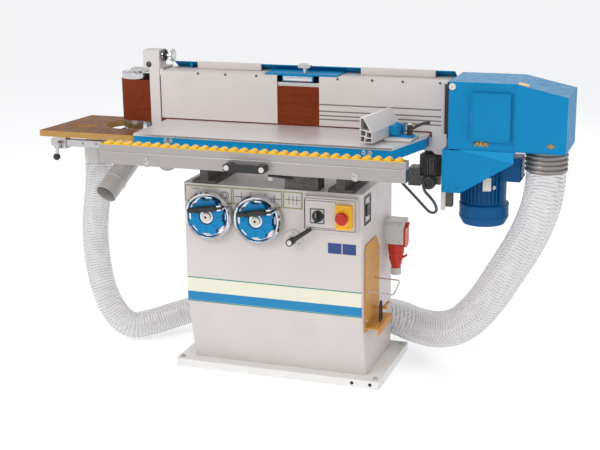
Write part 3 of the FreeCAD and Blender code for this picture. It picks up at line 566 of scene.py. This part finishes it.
# ---- cabinet, controls and side fittings ----
PRINT_LIFT = 0.0002     # how far printed lines stand off the paint
PRINT_HALF = 0.0005     # half the depth of a printed line
PANEL_X, PANEL_Z = 0.24, (0.37, 0.66)
LOUVRES, LOUVRE_PITCH = 7, 0.012


def make_cabinet_detail():
    low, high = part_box("cabinet_shell")
    front = low.y - PRINT_LIFT
    bm = bmesh.new()
    for x in ((-0.322, -0.144), (-0.141, 0.042), (0.045, 0.115)):
        add_frame(bm, x, (0.634, 0.693), front, 0.0035)
    piece("pictogram_frames", bm, "base", "line_green")
    bm = bmesh.new()
    for x0, x1, z in ((-0.136, 0.038, 0.662), (0.052, 0.108, 0.664), (-0.300, -0.268, 0.680)):
        add_block(bm, (x0, front - PRINT_HALF, z), (x1, front + PRINT_HALF, z + 0.0018), 0)
    for x in (-0.110, -0.075, -0.020, 0.012, 0.066, 0.080, 0.094):
        add_block(bm, (x, front - PRINT_HALF, 0.648), (x + 0.0016, front + PRINT_HALF, 0.680), 0)
    for x in (-0.176, -0.168):
        add_turned(bm, [(0.011, 0), (0.0125, 0), (0.0125, 0.0006), (0.011, 0.0006), (0.011, 0)],
                   (x, front, 0.664), -Y, 24)
    piece("pictogram_lines", bm, "base", "line_dark")
    blocks("blank_stickers", "base", "label_blue",
           [((x, front - PRINT_HALF, 0.486), (x + 0.048, front + PRINT_HALF, 0.523))
            for x in (0.206, 0.258)], 0)
    right = high.x
    bm = bmesh.new()
    rim = [((-0.166, 0.585), (-0.093, 0.592)), ((-0.166, 0.678), (-0.093, 0.685)),
           ((-0.166, 0.592), (-0.159, 0.678)), ((-0.100, 0.592), (-0.093, 0.678))]
    for (y0, z0), (y1, z1) in rim:
        add_block(bm, (right - 0.001, y0, z0), (right + 0.003, y1, z1), 0.0004)
    add_block(bm, (right - 0.001, -0.150, 0.615), (right + 0.006, -0.118, 0.655), 0.002)
    piece("side_inspection_frame", bm, "base", "black_plastic")
    plinth_low, plinth_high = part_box("base_plinth")
    centre_y = (plinth_low.y + plinth_high.y) / 2
    spots = [(sx * 0.368, centre_y + sy * 0.183, plinth_high.z) for sx in (-1, 1) for sy in (-1, 1)]
    lathes("anchor_bolts", "base", "bright_steel",
           [(0, -0.001), (0.0105, -0.001), (0.0105, 0.0014), (0.0080, 0.0016), (0.0080, 0.0060),
            (0.0070, 0.0068), (0, 0.0068)], spots, Z, 6, 20)
    lathes("plinth_plugs", "base", "black_plastic",
           [(0, 0.0012), (0.005, 0.0012), (0.0065, 0.0), (0.0065, -0.001), (0, -0.001)],
           [(x, plinth_low.y, 0.015) for x in (0.288, 0.354)], -Y, 24)


def make_rear_panel():
    """The service panel on the cabinet's back, over the duct box."""
    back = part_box("cabinet_shell")[1].y
    boxes = [((-PANEL_X, back - 0.001, PANEL_Z[0]), (PANEL_X, back + 0.003, PANEL_Z[1]))]
    for i in range(LOUVRES):
        z = 0.56 + i * LOUVRE_PITCH
        boxes.append(((-0.16, back + 0.002, z), (-0.02, back + 0.007, z + 0.006)))
        boxes.append(((0.02, back + 0.002, z), (0.16, back + 0.007, z + 0.006)))
    blocks("rear_service_panel", "base", "white_paint", boxes, 0.0012)
    screws("rear_panel_screws", "base", Y, 0.005,
           [(x, back + 0.003, z) for x in (-0.228, 0.0, 0.228) for z in (0.382, 0.648)])


def make_controls():
    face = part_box("control_plate")[0].y
    bm = bmesh.new()
    add_frame(bm, (0.128, 0.312), (0.572, 0.682), face - 0.0002, 0.0016)
    add_frame(bm, (0.130, 0.242), (0.578, 0.674), face - 0.0004, 0.0014)
    piece("control_outline", bm, "base", "line_dark")
    bm = bmesh.new()
    add_frame(bm, (0.149, 0.200), (0.594, 0.646), face - 0.0004, 0.0028, 0.0012)
    piece("switch_frame", bm, "base", "line_dark")
    blocks("switch_plate", "base", "grey_plastic",
           [((0.1518, face - 0.0006, 0.5968), (0.1972, face + 0.0005, 0.6432))], 0)
    screws("control_screws", "base", -Y, 0.0036,
           [(x, face, z) for x in (0.1335, 0.3075) for z in (0.576, 0.679)])
    blocks("switch_pointer", "switch_knob", "label_pale",
           [((0.1762, face - 0.0266, 0.622), (0.1778, face - 0.0255, 0.638))], 0)
    b_low, b_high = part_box("stop_block")
    corners = [(x, b_low.y, z) for x in (b_low.x + 0.008, b_high.x - 0.008)
               for z in (b_low.z + 0.009, b_high.z - 0.009)]
    screws("stop_block_screws", "base", -Y, 0.0034, corners, "yellow_plastic")
    lathe("stop_collar", "base", "yellow_plastic",
          [(0.0100, 0), (0.0262, 0), (0.0262, 0.0035), (0.0235, 0.006), (0.0100, 0.006), (0.0100, 0)],
          (0.272, b_low.y, 0.626), -Y)
    d_low, d_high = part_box("clamp_disc")
    centre = (d_low + d_high) / 2
    reach = 0.027
    screws("clamp_disc_screws", "base", -Y, 0.0034,
           [(centre.x + reach * math.cos(a), d_low.y + 0.005, centre.z + reach * math.sin(a))
            for a in (math.radians(a) for a in (90, 210, 330))])
    lathe("clamp_lever_cap", "clamp_lever", "label_pale",
          [(0, 0.0032), (0.005, 0.003), (0.0085, 0.0012), (0.009, 0), (0.009, -0.001), (0, -0.001)],
          (centre.x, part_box("clamp_lever")[0].y, centre.z), -Y)


def make_wheel_detail(prefix):
    """The hub with its six screws, the bolt and the web's eight ribs of one handwheel."""
    low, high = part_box(prefix + "_wheel_disc")
    centre = (low + high) / 2
    bm = bmesh.new()
    hub = [(0.0, 0.004), (0.0045, 0.004), (0.0050, 0.0085), (0.014, 0.0085), (0.0165, 0.007), (0.0172, 0.0),
           (0.0172, -0.003), (0, -0.003)]
    add_turned(bm, hub, (centre.x, low.y + 0.0015, centre.z), -Y, 36)
    reach = 0.0115
    for turn in (math.pi / 3 * i for i in range(6)):
        at = (centre.x + reach * math.cos(turn), low.y - 0.0065, centre.z + reach * math.sin(turn))
        add_screw(bm, at, -Y, 0.0016)
    piece(prefix + "_wheel_hub", bm, prefix + "_wheel", "label_pale")
    lathe(prefix + "_wheel_bolt", prefix + "_wheel", "black_plastic",
          [(0, 0), (0.0045, 0), (0.0045, 0.003), (0.0022, 0.0036), (0.0022, 0.001), (0, 0.001)],
          (centre.x, low.y - 0.0022, centre.z), -Y, 6)
    bm = bmesh.new()
    for turn in (math.pi / 4 * i for i in range(8)):
        reach = Vector((math.cos(turn), 0, math.sin(turn)))
        start = Vector((centre.x, low.y - 0.0004, centre.z)) + reach * 0.034
        add_tube(bm, [start, start + reach * 0.010, start + reach * 0.020], 0.0013, 8)
    piece(prefix + "_disc_ribs", bm, prefix + "_wheel", "blue_plastic")


def make_side_detail():
    """The wire bail, cable loop and screws on the bracket, and the trim of the inlet."""
    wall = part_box("hose_bracket")[0].x + 0.005
    bm = bmesh.new()
    corner = [(wall, -0.150, 0.350), (wall + 0.045, -0.146, 0.344), (wall + 0.088, -0.140, 0.340),
              (wall + 0.092, -0.134, 0.342), (wall + 0.094, -0.124, 0.347), (wall + 0.094, -0.070, 0.362),
              (wall + 0.092, -0.060, 0.366), (wall + 0.086, -0.055, 0.367), (wall + 0.040, -0.048, 0.366),
              (wall, -0.044, 0.366)]
    add_tube(bm, corner, 0.0022, 10)
    piece("wire_bail", bm, "base", "bright_steel")
    bm = bmesh.new()
    arch = [(wall + 0.030, -0.075 + 0.012 * math.cos(a), 0.258 + 0.034 * math.sin(a))
            for a in (math.pi * i / 14 for i in range(15))]
    add_tube(bm, [(wall + 0.030, -0.063, 0.219), *arch, (wall + 0.030, -0.087, 0.219)], 0.0030, 10)
    piece("cable_loop", bm, "base", "black_plastic")
    screws("bracket_screws", "base", X, 0.0045,
           [(wall, y, z) for y, z in ((-0.150, 0.470), (-0.010, 0.455), (-0.150, 0.240), (-0.005, 0.240))])
    b_low, b_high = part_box("inlet_box")
    lid = ((b_low.x + 0.006, b_low.y - 0.0025, b_low.z + 0.005),
           (b_high.x - 0.006, b_low.y + 0.001, b_high.z - 0.005))
    blocks("inlet_box_lid", "base", "grey_plastic", [lid], 0.001)
    screws("inlet_box_screws", "base", -Y, 0.0032,
           [(x, b_low.y - 0.0025, z) for x in (b_low.x + 0.013, b_high.x - 0.013)
            for z in (b_low.z + 0.012, b_high.z - 0.012)])
    s_low, s_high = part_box("inlet_socket")
    centre = (s_low + s_high) / 2
    lathe("socket_rings", "base", "red_plastic",
          [(0.020, -0.004), (0.0295, -0.004), (0.0315, -0.006), (0.0315, -0.012), (0.0295, -0.014),
           (0.0270, -0.030), (0.0285, -0.033), (0.0285, -0.040), (0.0262, -0.043), (0.020, -0.043),
           (0.020, -0.004)], (centre.x, centre.y, s_high.z), Z)
    lathe("socket_cap", "base", "grey_plastic",
          [(0.0172, 0), (0.0190, 0.001), (0.0192, 0.012), (0.0186, 0.024), (0.0150, 0.030), (0.0130, 0.030),
           (0.0130, 0), (0.0172, 0)], (centre.x, centre.y, s_low.z + 0.0005), Z)
    bm = bmesh.new()
    tip = centre.x + 0.018
    add_tube(bm, [(tip, centre.y, 0.398), (tip + 0.009, centre.y, 0.400), (tip + 0.017, centre.y, 0.405),
                  (tip + 0.022, centre.y, 0.410)], 0.0042, 12)
    piece("socket_spur", bm, "base", "red_plastic")


# ---- table, rail and mitre ----
def make_table_detail():
    """The apron's screws, the table's bright edge, a bearing plate and the rail's lock."""
    low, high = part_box("table_apron")
    screws("skirt_screws", "table", -Y, 0.0058,
           [(x, low.y, high.z - 0.011) for x in (-0.315, -0.296, 0.378, 0.399)])
    t_low, t_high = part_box("table_plate")
    blocks("table_front_edge", "table", "bright_steel",
           [((t_low.x - 0.0006, t_low.y - 0.0006, t_high.z - 0.0075),
             (0.4715, t_low.y + 0.0006, t_high.z - 0.0005))], 0.0004)
    half = [(-0.315 + 0.035 * math.cos(a), 0.806 - 0.031 * math.sin(a))
            for a in (math.pi * i / 16 for i in range(17))]
    outline = [(-0.280, 0.826), *half, (-0.350, 0.826)]
    prism("bar_bearing_plate", "table", "aluminium",
          [(x, -0.346, z) for x, z in outline], [(x, -0.338, z) for x, z in outline])
    bm = bmesh.new()
    add_tube(bm, [(0.070, -0.392, 0.796), (0.090, -0.393, 0.795), (0.120, -0.394, 0.793),
                  (0.156, -0.395, 0.791)], 0.0052, 14)
    add_tube(bm, [(0.076, -0.392, 0.796), (0.078, -0.372, 0.806), (0.082, -0.345, 0.822),
                  (0.084, -0.336, 0.846)], 0.0042, 12)
    piece("rail_lock_lever", bm, "table", "black_plastic")
    lathe("rail_lock_cap", "table", "label_pale",
          [(0, 0), (0.0075, 0), (0.0080, 0.003), (0.0080, 0.010), (0.006, 0.012), (0, 0.012)],
          (0.077, -0.392, 0.780), Z, 24)


def make_rail_detail():
    """The rail's caps, bead, top edge and bolts, its handle's screws and the skins of its rollers."""
    low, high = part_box("roller_rail")
    blocks("rail_end_caps", "rail", "black_plastic",
           [((x0, low.y + 0.001, low.z + 0.001), (x1, high.y - 0.001, high.z - 0.027))
            for x0, x1 in ((low.x - 0.0018, low.x + 0.0005), (high.x - 0.0005, high.x + 0.0018))])
    seam = low.z + 0.040
    blocks("rail_seam_bead", "rail", "bright_steel",
           [((low.x + 0.0005, low.y - 0.0009, seam - 0.0016),
             (high.x - 0.0005, low.y + 0.002, seam + 0.0012))], 0.0004)
    blocks("rail_top_edge", "rail", "roller_yellow",
           [((low.x + 0.001, low.y + 0.0006, high.z - 0.0006),
             (high.x - 0.001, low.y + 0.0048, high.z + 0.0012))], 0.0003)
    screws("rail_bolts", "rail", -Y, 0.0085, [(-0.314, low.y, 0.841), (0.394, low.y, 0.838)])
    h_low, h_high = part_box("rail_handle")
    centre_z = (h_low.z + h_high.z) / 2
    lathes("handle_screws", "rail", "label_pale",
           [(0, 0.0015), (0.0035, 0.0015), (0.0040, 0.0032), (0.0070, 0.0030), (0.0088, 0.0014), (0.009, 0),
            (0.009, -0.001), (0, -0.001)],
           [(x, h_low.y, centre_z) for x in (h_low.x + 0.011, h_high.x - 0.011)], -Y, 28)
    r_low, r_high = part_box("rail_rollers")
    count, pitch, radius = 30, 0.034, 0.014
    first = (low.x + high.x - (count - 1) * pitch) / 2
    lathes("roller_skins", "rail", "roller_yellow",
           [(0.0030, 0.0), (0.0060, 0.0006), (0.0112, 0.0004), (0.0132, -0.0014), (0.0139, -0.006),
            (0.0139, -0.0302), (0.0030, -0.0302), (0.0030, 0.0)],
           [(first + i * pitch, r_low.y + 0.0006, r_high.z - radius) for i in range(count)], -Y, 28)


def make_mitre_detail():
    """The curved clamp lever over the mitre guide, with its pale cap."""
    pivot = Vector((0.492, -0.205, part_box("mitre_lever")[0].z))
    swing = Matrix.Rotation(math.radians(6), 4, "Z")
    arm = [(0.004 + 0.062 * t, 0.0, 0.034 + 0.024 * math.sin(t * math.pi * 0.5))
           for t in (i / 12 for i in range(13))]
    path = [pivot + swing @ Vector(at) for at in arm]
    bm = bmesh.new()
    add_turned(bm, [(0, 0.010), (0.0105, 0.010), (0.0095, 0.018), (0.0080, 0.040), (0.0092, 0.044),
                    (0.0080, 0.049), (0, 0.050)], pivot, Z, 32)
    add_tube(bm, path, 0.0050, 14)
    lever = piece("mitre_clamp_lever", bm, "mitre_lever", "black_plastic")
    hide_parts("mitre_lever")
    lathe("mitre_lever_cap", "mitre_lever", "label_pale",
          [(0, 0), (0.0072, 0), (0.0072, 0.0025), (0.005, 0.004), (0, 0.0042)], pivot + Z * 0.0495, Z, 24)
    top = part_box("mitre_clamp")[1].z - 0.0005
    lathes("mitre_clamp_nuts", "mitre", "blue_plastic",
           [(0, 0), (0.0075, 0), (0.0075, 0.004), (0.0062, 0.009), (0.004, 0.010), (0, 0.010)],
           [(0.452, -0.236, top), (0.447, -0.196, top)], Z, 24)
    low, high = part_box("mitre_base")
    blocks("mitre_base_top", "table", "label_pale",
           [((low.x - 0.003, low.y - 0.003, high.z - 0.0016),
             (high.x - 0.001, high.y - 0.001, high.z + 0.0004))], 0.0004)


# ---- belt unit ----
def make_unit_detail():
    """The fence's screws, grooves and trims, and the fittings of the post and both drums."""
    low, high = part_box("fence_left")
    screws("fence_screws", "unit", -Y, 0.0032,
           [(x, low.y, high.z - 0.0055) for x in (-0.310, -0.206, -0.090, 0.205, 0.327, 0.433, 0.560)],
           "cast_grey")
    grooves = [((0.140, low.y + 0.0004, z - 0.0021), (0.5655, low.y + 0.0016, z + 0.0021))
               for z in (0.978, 0.955, 0.940, 0.927)]
    blocks("fence_grooves", "unit", "groove_grey", grooves, 0)
    blocks("fence_gap_seal", "unit", "black_plastic",
           [((0.5765, low.y - 0.0012, 0.898), (0.5905, low.y + 0.001, 1.066))])
    blocks("fence_end_trim", "unit", "white_paint",
           [((0.5660, low.y - 0.0014, 0.906), (0.5745, low.y + 0.001, high.z - 0.001))])
    blocks("top_lids", "unit", "white_paint",
           [((x0, 0.006, 1.0735), (x1, 0.018, 1.0985))
            for x0, x1 in ((-0.345, -0.103), (0.264, 0.525))], 0.002)
    blocks("window_clamp_plate", "unit", "chrome",
           [((0.008, -0.0690, 1.0545), (0.112, -0.0658, 1.0700))])
    screws("post_bolt", "unit", -Y, 0.0078, [(-0.497, -0.077, 1.094)], "cast_grey")
    k_low, k_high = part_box("tracking_knob")
    mid_z = (k_low.z + k_high.z) / 2
    knob_y, reach = -0.045, 0.0205
    lathes("tracking_knob_knurls", "tracking_knob", "bright_steel",
           [(0, -0.0032), (0.0032, -0.0032), (0.0032, 0.0032), (0, 0.0032)],
           [(k_high.x - 0.0040, knob_y + reach * math.cos(a), mid_z + reach * math.sin(a))
            for a in (math.pi / 6 * i for i in range(12))], X, 12)
    lathe("tracking_lock_nut", "tracking_knob", "black_plastic",
          [(0.0062, 0), (0.0205, 0), (0.0225, 0.003), (0.0225, 0.007), (0.0205, 0.0105), (0.0062, 0.0105),
           (0.0062, 0)], (-0.4545, knob_y, mid_z), X, 12)
    d_low, d_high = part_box("idler_drum")
    x, y = (d_low.x + d_high.x) / 2, (d_low.y + d_high.y) / 2
    lathe("idler_drum_rim", "idler_drum", "chrome",
          [(0.046, 0), (0.0585, 0), (0.0588, 0.001), (0.0588, 0.0022), (0.0560, 0.0034), (0.0500, 0.0034),
           (0.046, 0.0010), (0.046, 0)], (x, y, d_high.z - 0.0004), Z, 64)
    reach = 0.034
    screws("idler_drum_screws", "idler_drum", Z, 0.0030,
           [(x + reach * math.cos(a), y + reach * math.sin(a), d_high.z)
            for a in (math.pi / 3 * i for i in range(6))])
    screws("rear_cover_screws", "unit", Y, 0.0042,
           [(x, 0.0575, z) for x in (-0.395, -0.290, 0.015, 0.220, 0.420, 0.545) for z in (1.060, 0.905)])


def make_housing_detail():
    """The drive housing's seams, bolt, catches, door rim and blank label, and a flat triangle in a lighter
    blue that paints the highlight on the shroud's sloped facet.
    """
    low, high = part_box("drive_housing")
    front = low.y
    seam_x = 0.820
    bm = bmesh.new()
    add_block(bm, (seam_x - 0.0008, front - 0.0009, low.z + 0.001),
              (seam_x + 0.0008, front + 0.0010, high.z - 0.003), 0.0003)
    add_block(bm, (low.x + 0.001, front - 0.0012, low.z + 0.0005),
              (high.x - 0.001, front + 0.0010, low.z + 0.0030), 0.0006)
    piece("housing_seams", bm, "unit", "blue_paint")
    lathe("housing_disc_bolt", "unit", "label_pale",
          [(0, 0.0050), (0.0030, 0.0050), (0.0034, 0.0085), (0.0088, 0.0080), (0.0112, 0.0055), (0.0115, 0),
           (0.0115, -0.001), (0, -0.001)], (0.619, front, 1.0715), -Y, 36)
    d_low, d_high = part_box("housing_door")
    bm = bmesh.new()
    for x in (d_low.x + 0.024, d_low.x + 0.050):
        add_turned(bm, [(0, 0.0075), (0.0035, 0.0075), (0.0060, 0.0060), (0.0088, 0.0030), (0.0098, 0),
                        (0.0098, -0.001), (0, -0.001)], (x, front, 0.8905), -Y, 24)
    add_block(bm, (d_low.x + 0.014, front - 0.0014, 0.8800),
              (d_low.x + 0.060, front + 0.0008, 0.8985), 0.0006)
    add_turned(bm, [(0, 0.0035), (0.006, 0.0035), (0.0085, 0.0015), (0.009, 0), (0.009, -0.001), (0, -0.001)],
               (0.940, front, 0.892), -Y, 24)
    add_block(bm, (0.927, front - 0.0016, 0.8895), (0.953, front + 0.0008, 0.8945), 0.0006)
    piece("housing_catches", bm, "unit", "brass")
    bm = bmesh.new()
    add_frame(bm, (d_low.x + 0.006, d_high.x - 0.001), (d_low.z + 0.004, d_high.z - 0.004),
              d_low.y + 0.0030, 0.0030, 0.0009)
    piece("door_rim", bm, "housing_door", "blue_paint")
    eave_z, label_x = 1.050, 0.838
    slope = math.atan2(high.z - eave_z, high.x - seam_x)
    spot = Vector((label_x, -0.120, high.z - (label_x - seam_x) * math.tan(slope)))
    bm = bmesh.new()
    turn = Matrix.Translation(spot) @ Matrix.Rotation(slope, 4, "Y")
    add_block(bm, (-0.012, -0.018, -0.0003), (0.022, 0.018, 0.0006), 0, turn)
    piece("blank_yellow_label", bm, "unit", "yellow_plastic")
    # Painted highlight: the shroud's sloped facet is drawn as a flat triangle in a lighter copy of the blue
    # paint, standing for the light it catches.
    outer_y, inner_y = front - 0.0004 - 0.0008, front + 0.006
    prism("shroud_facet_highlight", "unit", "blue_light",
          [(x, outer_y, z) for x, z in ((0.634, 0.8655), (0.8225, 0.8655), (0.8225, 0.8280))],
          [(x, inner_y, z) for x, z in ((0.640, 0.8655), (0.8225, 0.8655), (0.8225, 0.8300))])
    screws("shroud_screws", "unit", -Y, 0.0042,
           [(x, front, z) for x, z in ((0.598, 0.735), (0.640, 0.735), (0.598, 0.850))],
           "blue_paint")


def make_motor_detail():
    """The fins, rings, label and terminal cover of the main motor, and the gear motor's fittings."""
    low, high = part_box("main_motor")
    axis = Vector((0.705, -0.009, 0))
    bare_from, bare_to = 2 * math.pi - 0.65, 0.75
    bm = bmesh.new()
    for turn in around(36):
        if turn < bare_to or turn > bare_from:
            continue
        local = Matrix.Translation(axis) @ Matrix.Rotation(turn, 4, "Z")
        add_block(bm, (0.072, -0.0013, 0.668), (0.0815, 0.0013, 0.842), 0.0005, local)
    piece("motor_fins", bm, "unit", "motor_paint")
    bm = bmesh.new()
    hoop = [(0.0828, 0.000), (0.0842, 0.001), (0.0842, 0.006), (0.0828, 0.007), (0.080, 0.007), (0.080, 0.0),
            (0.0828, 0.000)]
    for z in (0.6525, 0.6130):
        add_turned(bm, hoop, axis + Z * z, Z, 64)
    for r in (0.012 + i * 0.0065 for i in range(5)):
        add_turned(bm, [(r, 0), (r + 0.0022, 0), (r + 0.0022, 0.0012), (r, 0.0012), (r, 0)],
                   axis + Z * (low.z - 0.0004), Z, 40)
    piece("fan_cover_rings", bm, "unit", "motor_paint")
    bm = bmesh.new()
    face = math.atan2(-0.083, 0.024)
    local = Matrix.Translation(axis) @ Matrix.Rotation(face, 4, "Z")
    add_block(bm, (0.0816, -0.014, 0.716), (0.0832, 0.014, 0.762), 0.0003, local)
    piece("motor_label", bm, "unit", "label_pale")
    outward = Vector((0.55, -0.83, 0)).normalized()
    screws("motor_screws", "unit", outward, 0.0052, [axis + outward * 0.080 + Z * 0.727],
           "label_pale")
    right = high.x
    bm = bmesh.new()
    add_block(bm, (right - 0.0004, -0.050, 0.750), (right + 0.0030, 0.022, 0.821), 0.0012)
    for z in (0.757, 0.814):
        for y in (-0.043, 0.015):
            add_screw(bm, (right + 0.0030, y, z), X, 0.0032)
    piece("terminal_cover", bm, "unit", "motor_paint")
    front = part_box("gear_motor")[0].y
    bore_x, bore_z = 0.515, 0.716
    centre = Vector((bore_x, 0.022, 0))
    bm = bmesh.new()
    for turn in around(26):
        local = Matrix.Translation(centre) @ Matrix.Rotation(turn, 4, "Z")
        add_block(bm, (0.0345, -0.0014, 0.742), (0.0420, 0.0014, 0.806), 0.0006, local)
    add_turned(bm, [(0, 0), (0.040, 0), (0.041, 0.003), (0.036, 0.010), (0.014, 0.013), (0, 0.013)],
               centre + Z * 0.7985, Z, 40)
    neck = [(0.0, 0.002), (0.0145, 0.002), (0.0150, 0.006), (0.0200, 0.006), (0.0232, 0.003), (0.0240, 0.0),
            (0.0240, -0.008), (0.0, -0.008)]
    add_turned(bm, neck, (bore_x, front, bore_z), -Y, 36)
    reach = 0.0185
    for a in (math.pi / 3 * i for i in range(6)):
        at = (bore_x + reach * math.cos(a), front - 0.0055, bore_z + reach * math.sin(a))
        add_screw(bm, at, -Y, 0.0018)
    for z in (0.708 + i * 0.011 for i in range(5)):
        add_block(bm, (0.4385, -0.006, z), (0.4815, 0.050, z + 0.004), 0.0006)
    piece("gear_motor_fins", bm, "unit", "gear_paint")
    lathe("gear_motor_bore", "unit", "black_plastic",
          [(0, 0), (0.0142, 0), (0.0142, 0.0012), (0, 0.0012)], (bore_x, front - 0.0012, bore_z), -Y, 32)


def make_end_detail():
    """The screws of the end table's bar, the ball of its lever and the rings of both folding grips."""
    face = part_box("end_table_bar")[0].y
    screws("end_bar_screws", "unit", -Y, 0.0042, [(x, face, 0.8045) for x in (-0.745, -0.690, -0.520)])
    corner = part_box("end_table_lever")[0]
    ball = [(0.0130 * math.sin(a), -0.0132 * math.cos(a)) for a in (math.pi * i / 12 for i in range(1, 12))]
    lathe("end_lever_ball", "end_table_lever", "black_plastic",
          [(0.0, -0.0132), *ball, (0.0, 0.0132)], (corner.x + 0.012, -0.162, corner.z + 0.012), Z, 28)
    lean = math.radians(9)
    along = Vector((-math.cos(lean), 0, -math.sin(lean)))
    for node in ("lift_grip", "tilt_grip"):
        low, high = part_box(node)
        lathes(node + "_rings", node, "black_plastic",
               [(0.0100, 0), (0.0116, 0.0006), (0.0116, 0.0022), (0.0100, 0.0028), (0.0100, 0)],
               [(low + high) / 2 + along * (0.018 + i * 0.006) for i in range(3)], along, 28)


def make_frame_detail():
    """The flat bar and its black block beside the motor, and the joints of the duct work."""
    blocks("shroud_stay", "unit", "white_paint",
           [((0.574, -0.094, 0.641), (0.590, -0.090, 0.760))])
    blocks("shroud_stay_block", "unit", "gear_paint",
           [((0.5905, -0.094, 0.655), (0.613, -0.070, 0.720))])
    low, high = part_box("extraction_plenum")
    boxes = [((-0.176, 0.392, z), (0.176, 0.4015, z + 0.008)) for z in (low.z - 0.002, high.z - 0.006)]
    boxes += [((x, 0.392, low.z), (x + 0.008, 0.4015, high.z)) for x in (-0.176, 0.168)]
    blocks("plenum_flange", "base", "galvanised", boxes)
    screws("plenum_screws", "base", Y, 0.0040,
           [(x, 0.4015, z) for x in (-0.172, -0.09, 0.09, 0.172) for z in (low.z + 0.002, high.z - 0.002)])
    blocks("hood_flange", "unit", "galvanised",
           [((-0.692, 0.148, 0.820), (-0.478, 0.1525, 0.8262)),
            ((-0.6925, 0.012, 0.820), (-0.6880, 0.148, 0.8262))])


make_flexible()
make_cabinet_detail()
make_rear_panel()
make_controls()
make_wheel_detail("lift")
make_wheel_detail("tilt")
make_side_detail()
make_table_detail()
make_rail_detail()
make_mitre_detail()
make_unit_detail()
make_housing_detail()
make_motor_detail()
make_end_detail()
make_frame_detail()


# ---- floor, light and camera ----
FLOOR_HALF = 30.0                       # half the floor's side
FLOOR_GLOW = 0.36                       # lifts the floor to a studio white
AIM = (0.0, 0.0, 0.7)                   # the lights point at the machine's middle
WORLD_LIGHT, WORLD_SEEN = 0.62, 1.0     # the world's strength as light and as backdrop
CAMERA_AT = Vector((1.456, -4.053, 1.699))
YAW, PITCH, ROLL = math.radians(19.27), math.radians(15.32), math.radians(-0.67)
LENS, SENSOR = 74.15, 36.0              # millimetres


def make_floor():
    s = FLOOR_HALF
    mesh = bpy.data.meshes.new("floor")
    mesh.from_pydata([(-s, -s, 0), (s, -s, 0), (s, s, 0), (-s, s, 0)], [], [(0, 1, 2, 3)])
    floor = link("floor", mesh)
    finish = finish_of("floor_finish", srgb(236, 237, 240), 0.8, mottle=0.01, bump=0.0)
    glow = finish.node_tree.nodes["Principled BSDF"].inputs
    glow["Emission Color"].default_value = srgb(255, 255, 255)
    glow["Emission Strength"].default_value = FLOOR_GLOW
    floor.data.materials.append(finish)


def make_light(name, place, power, size):
    data = bpy.data.lights.new(name, "AREA")
    data.energy = power
    data.size = size
    turn = (Vector(place) - Vector(AIM)).to_track_quat("Z", "Y").to_matrix().to_4x4()
    link(name, data).matrix_world = Matrix.Translation(place) @ turn


def make_camera():
    ahead = Vector((-math.sin(YAW) * math.cos(PITCH), math.cos(YAW) * math.cos(PITCH), -math.sin(PITCH)))
    right = Vector((math.cos(YAW), math.sin(YAW), 0))
    up = right.cross(ahead)
    side = right * math.cos(ROLL) + up * math.sin(ROLL)
    top = up * math.cos(ROLL) - right * math.sin(ROLL)
    turn = Matrix((side, top, -ahead)).transposed().to_4x4()
    data = bpy.data.cameras.new("camera")
    data.sensor_width = SENSOR
    data.lens = LENS
    camera = link("camera", data)
    camera.matrix_world = Matrix.Translation(CAMERA_AT) @ turn
    bpy.context.scene.camera = camera


def make_world():
    """White to the camera and dimmer as a light."""
    world = bpy.data.worlds.new("studio")
    world.use_nodes = True
    tree = world.node_tree
    light_path = tree.nodes.new("ShaderNodeLightPath")
    strength = tree.nodes.new("ShaderNodeMapRange")
    strength.inputs["To Min"].default_value = WORLD_LIGHT
    strength.inputs["To Max"].default_value = WORLD_SEEN
    tree.links.new(light_path.outputs["Is Camera Ray"], strength.inputs["Value"])
    backdrop = tree.nodes["Background"]
    backdrop.inputs["Color"].default_value = (1.0, 1.0, 1.0, 1.0)
    tree.links.new(strength.outputs["Result"], backdrop.inputs["Strength"])
    bpy.context.scene.world = world


make_floor()
make_light("key", (-1.6, -3.6, 3.4), 78.0, 2.4)
make_light("fill", (3.4, -2.6, 2.2), 20.0, 2.6)
make_light("back", (0.4, 3.4, 3.2), 40.0, 3.0)
make_world()
bpy.context.scene.view_settings.view_transform = "Standard"
make_camera()
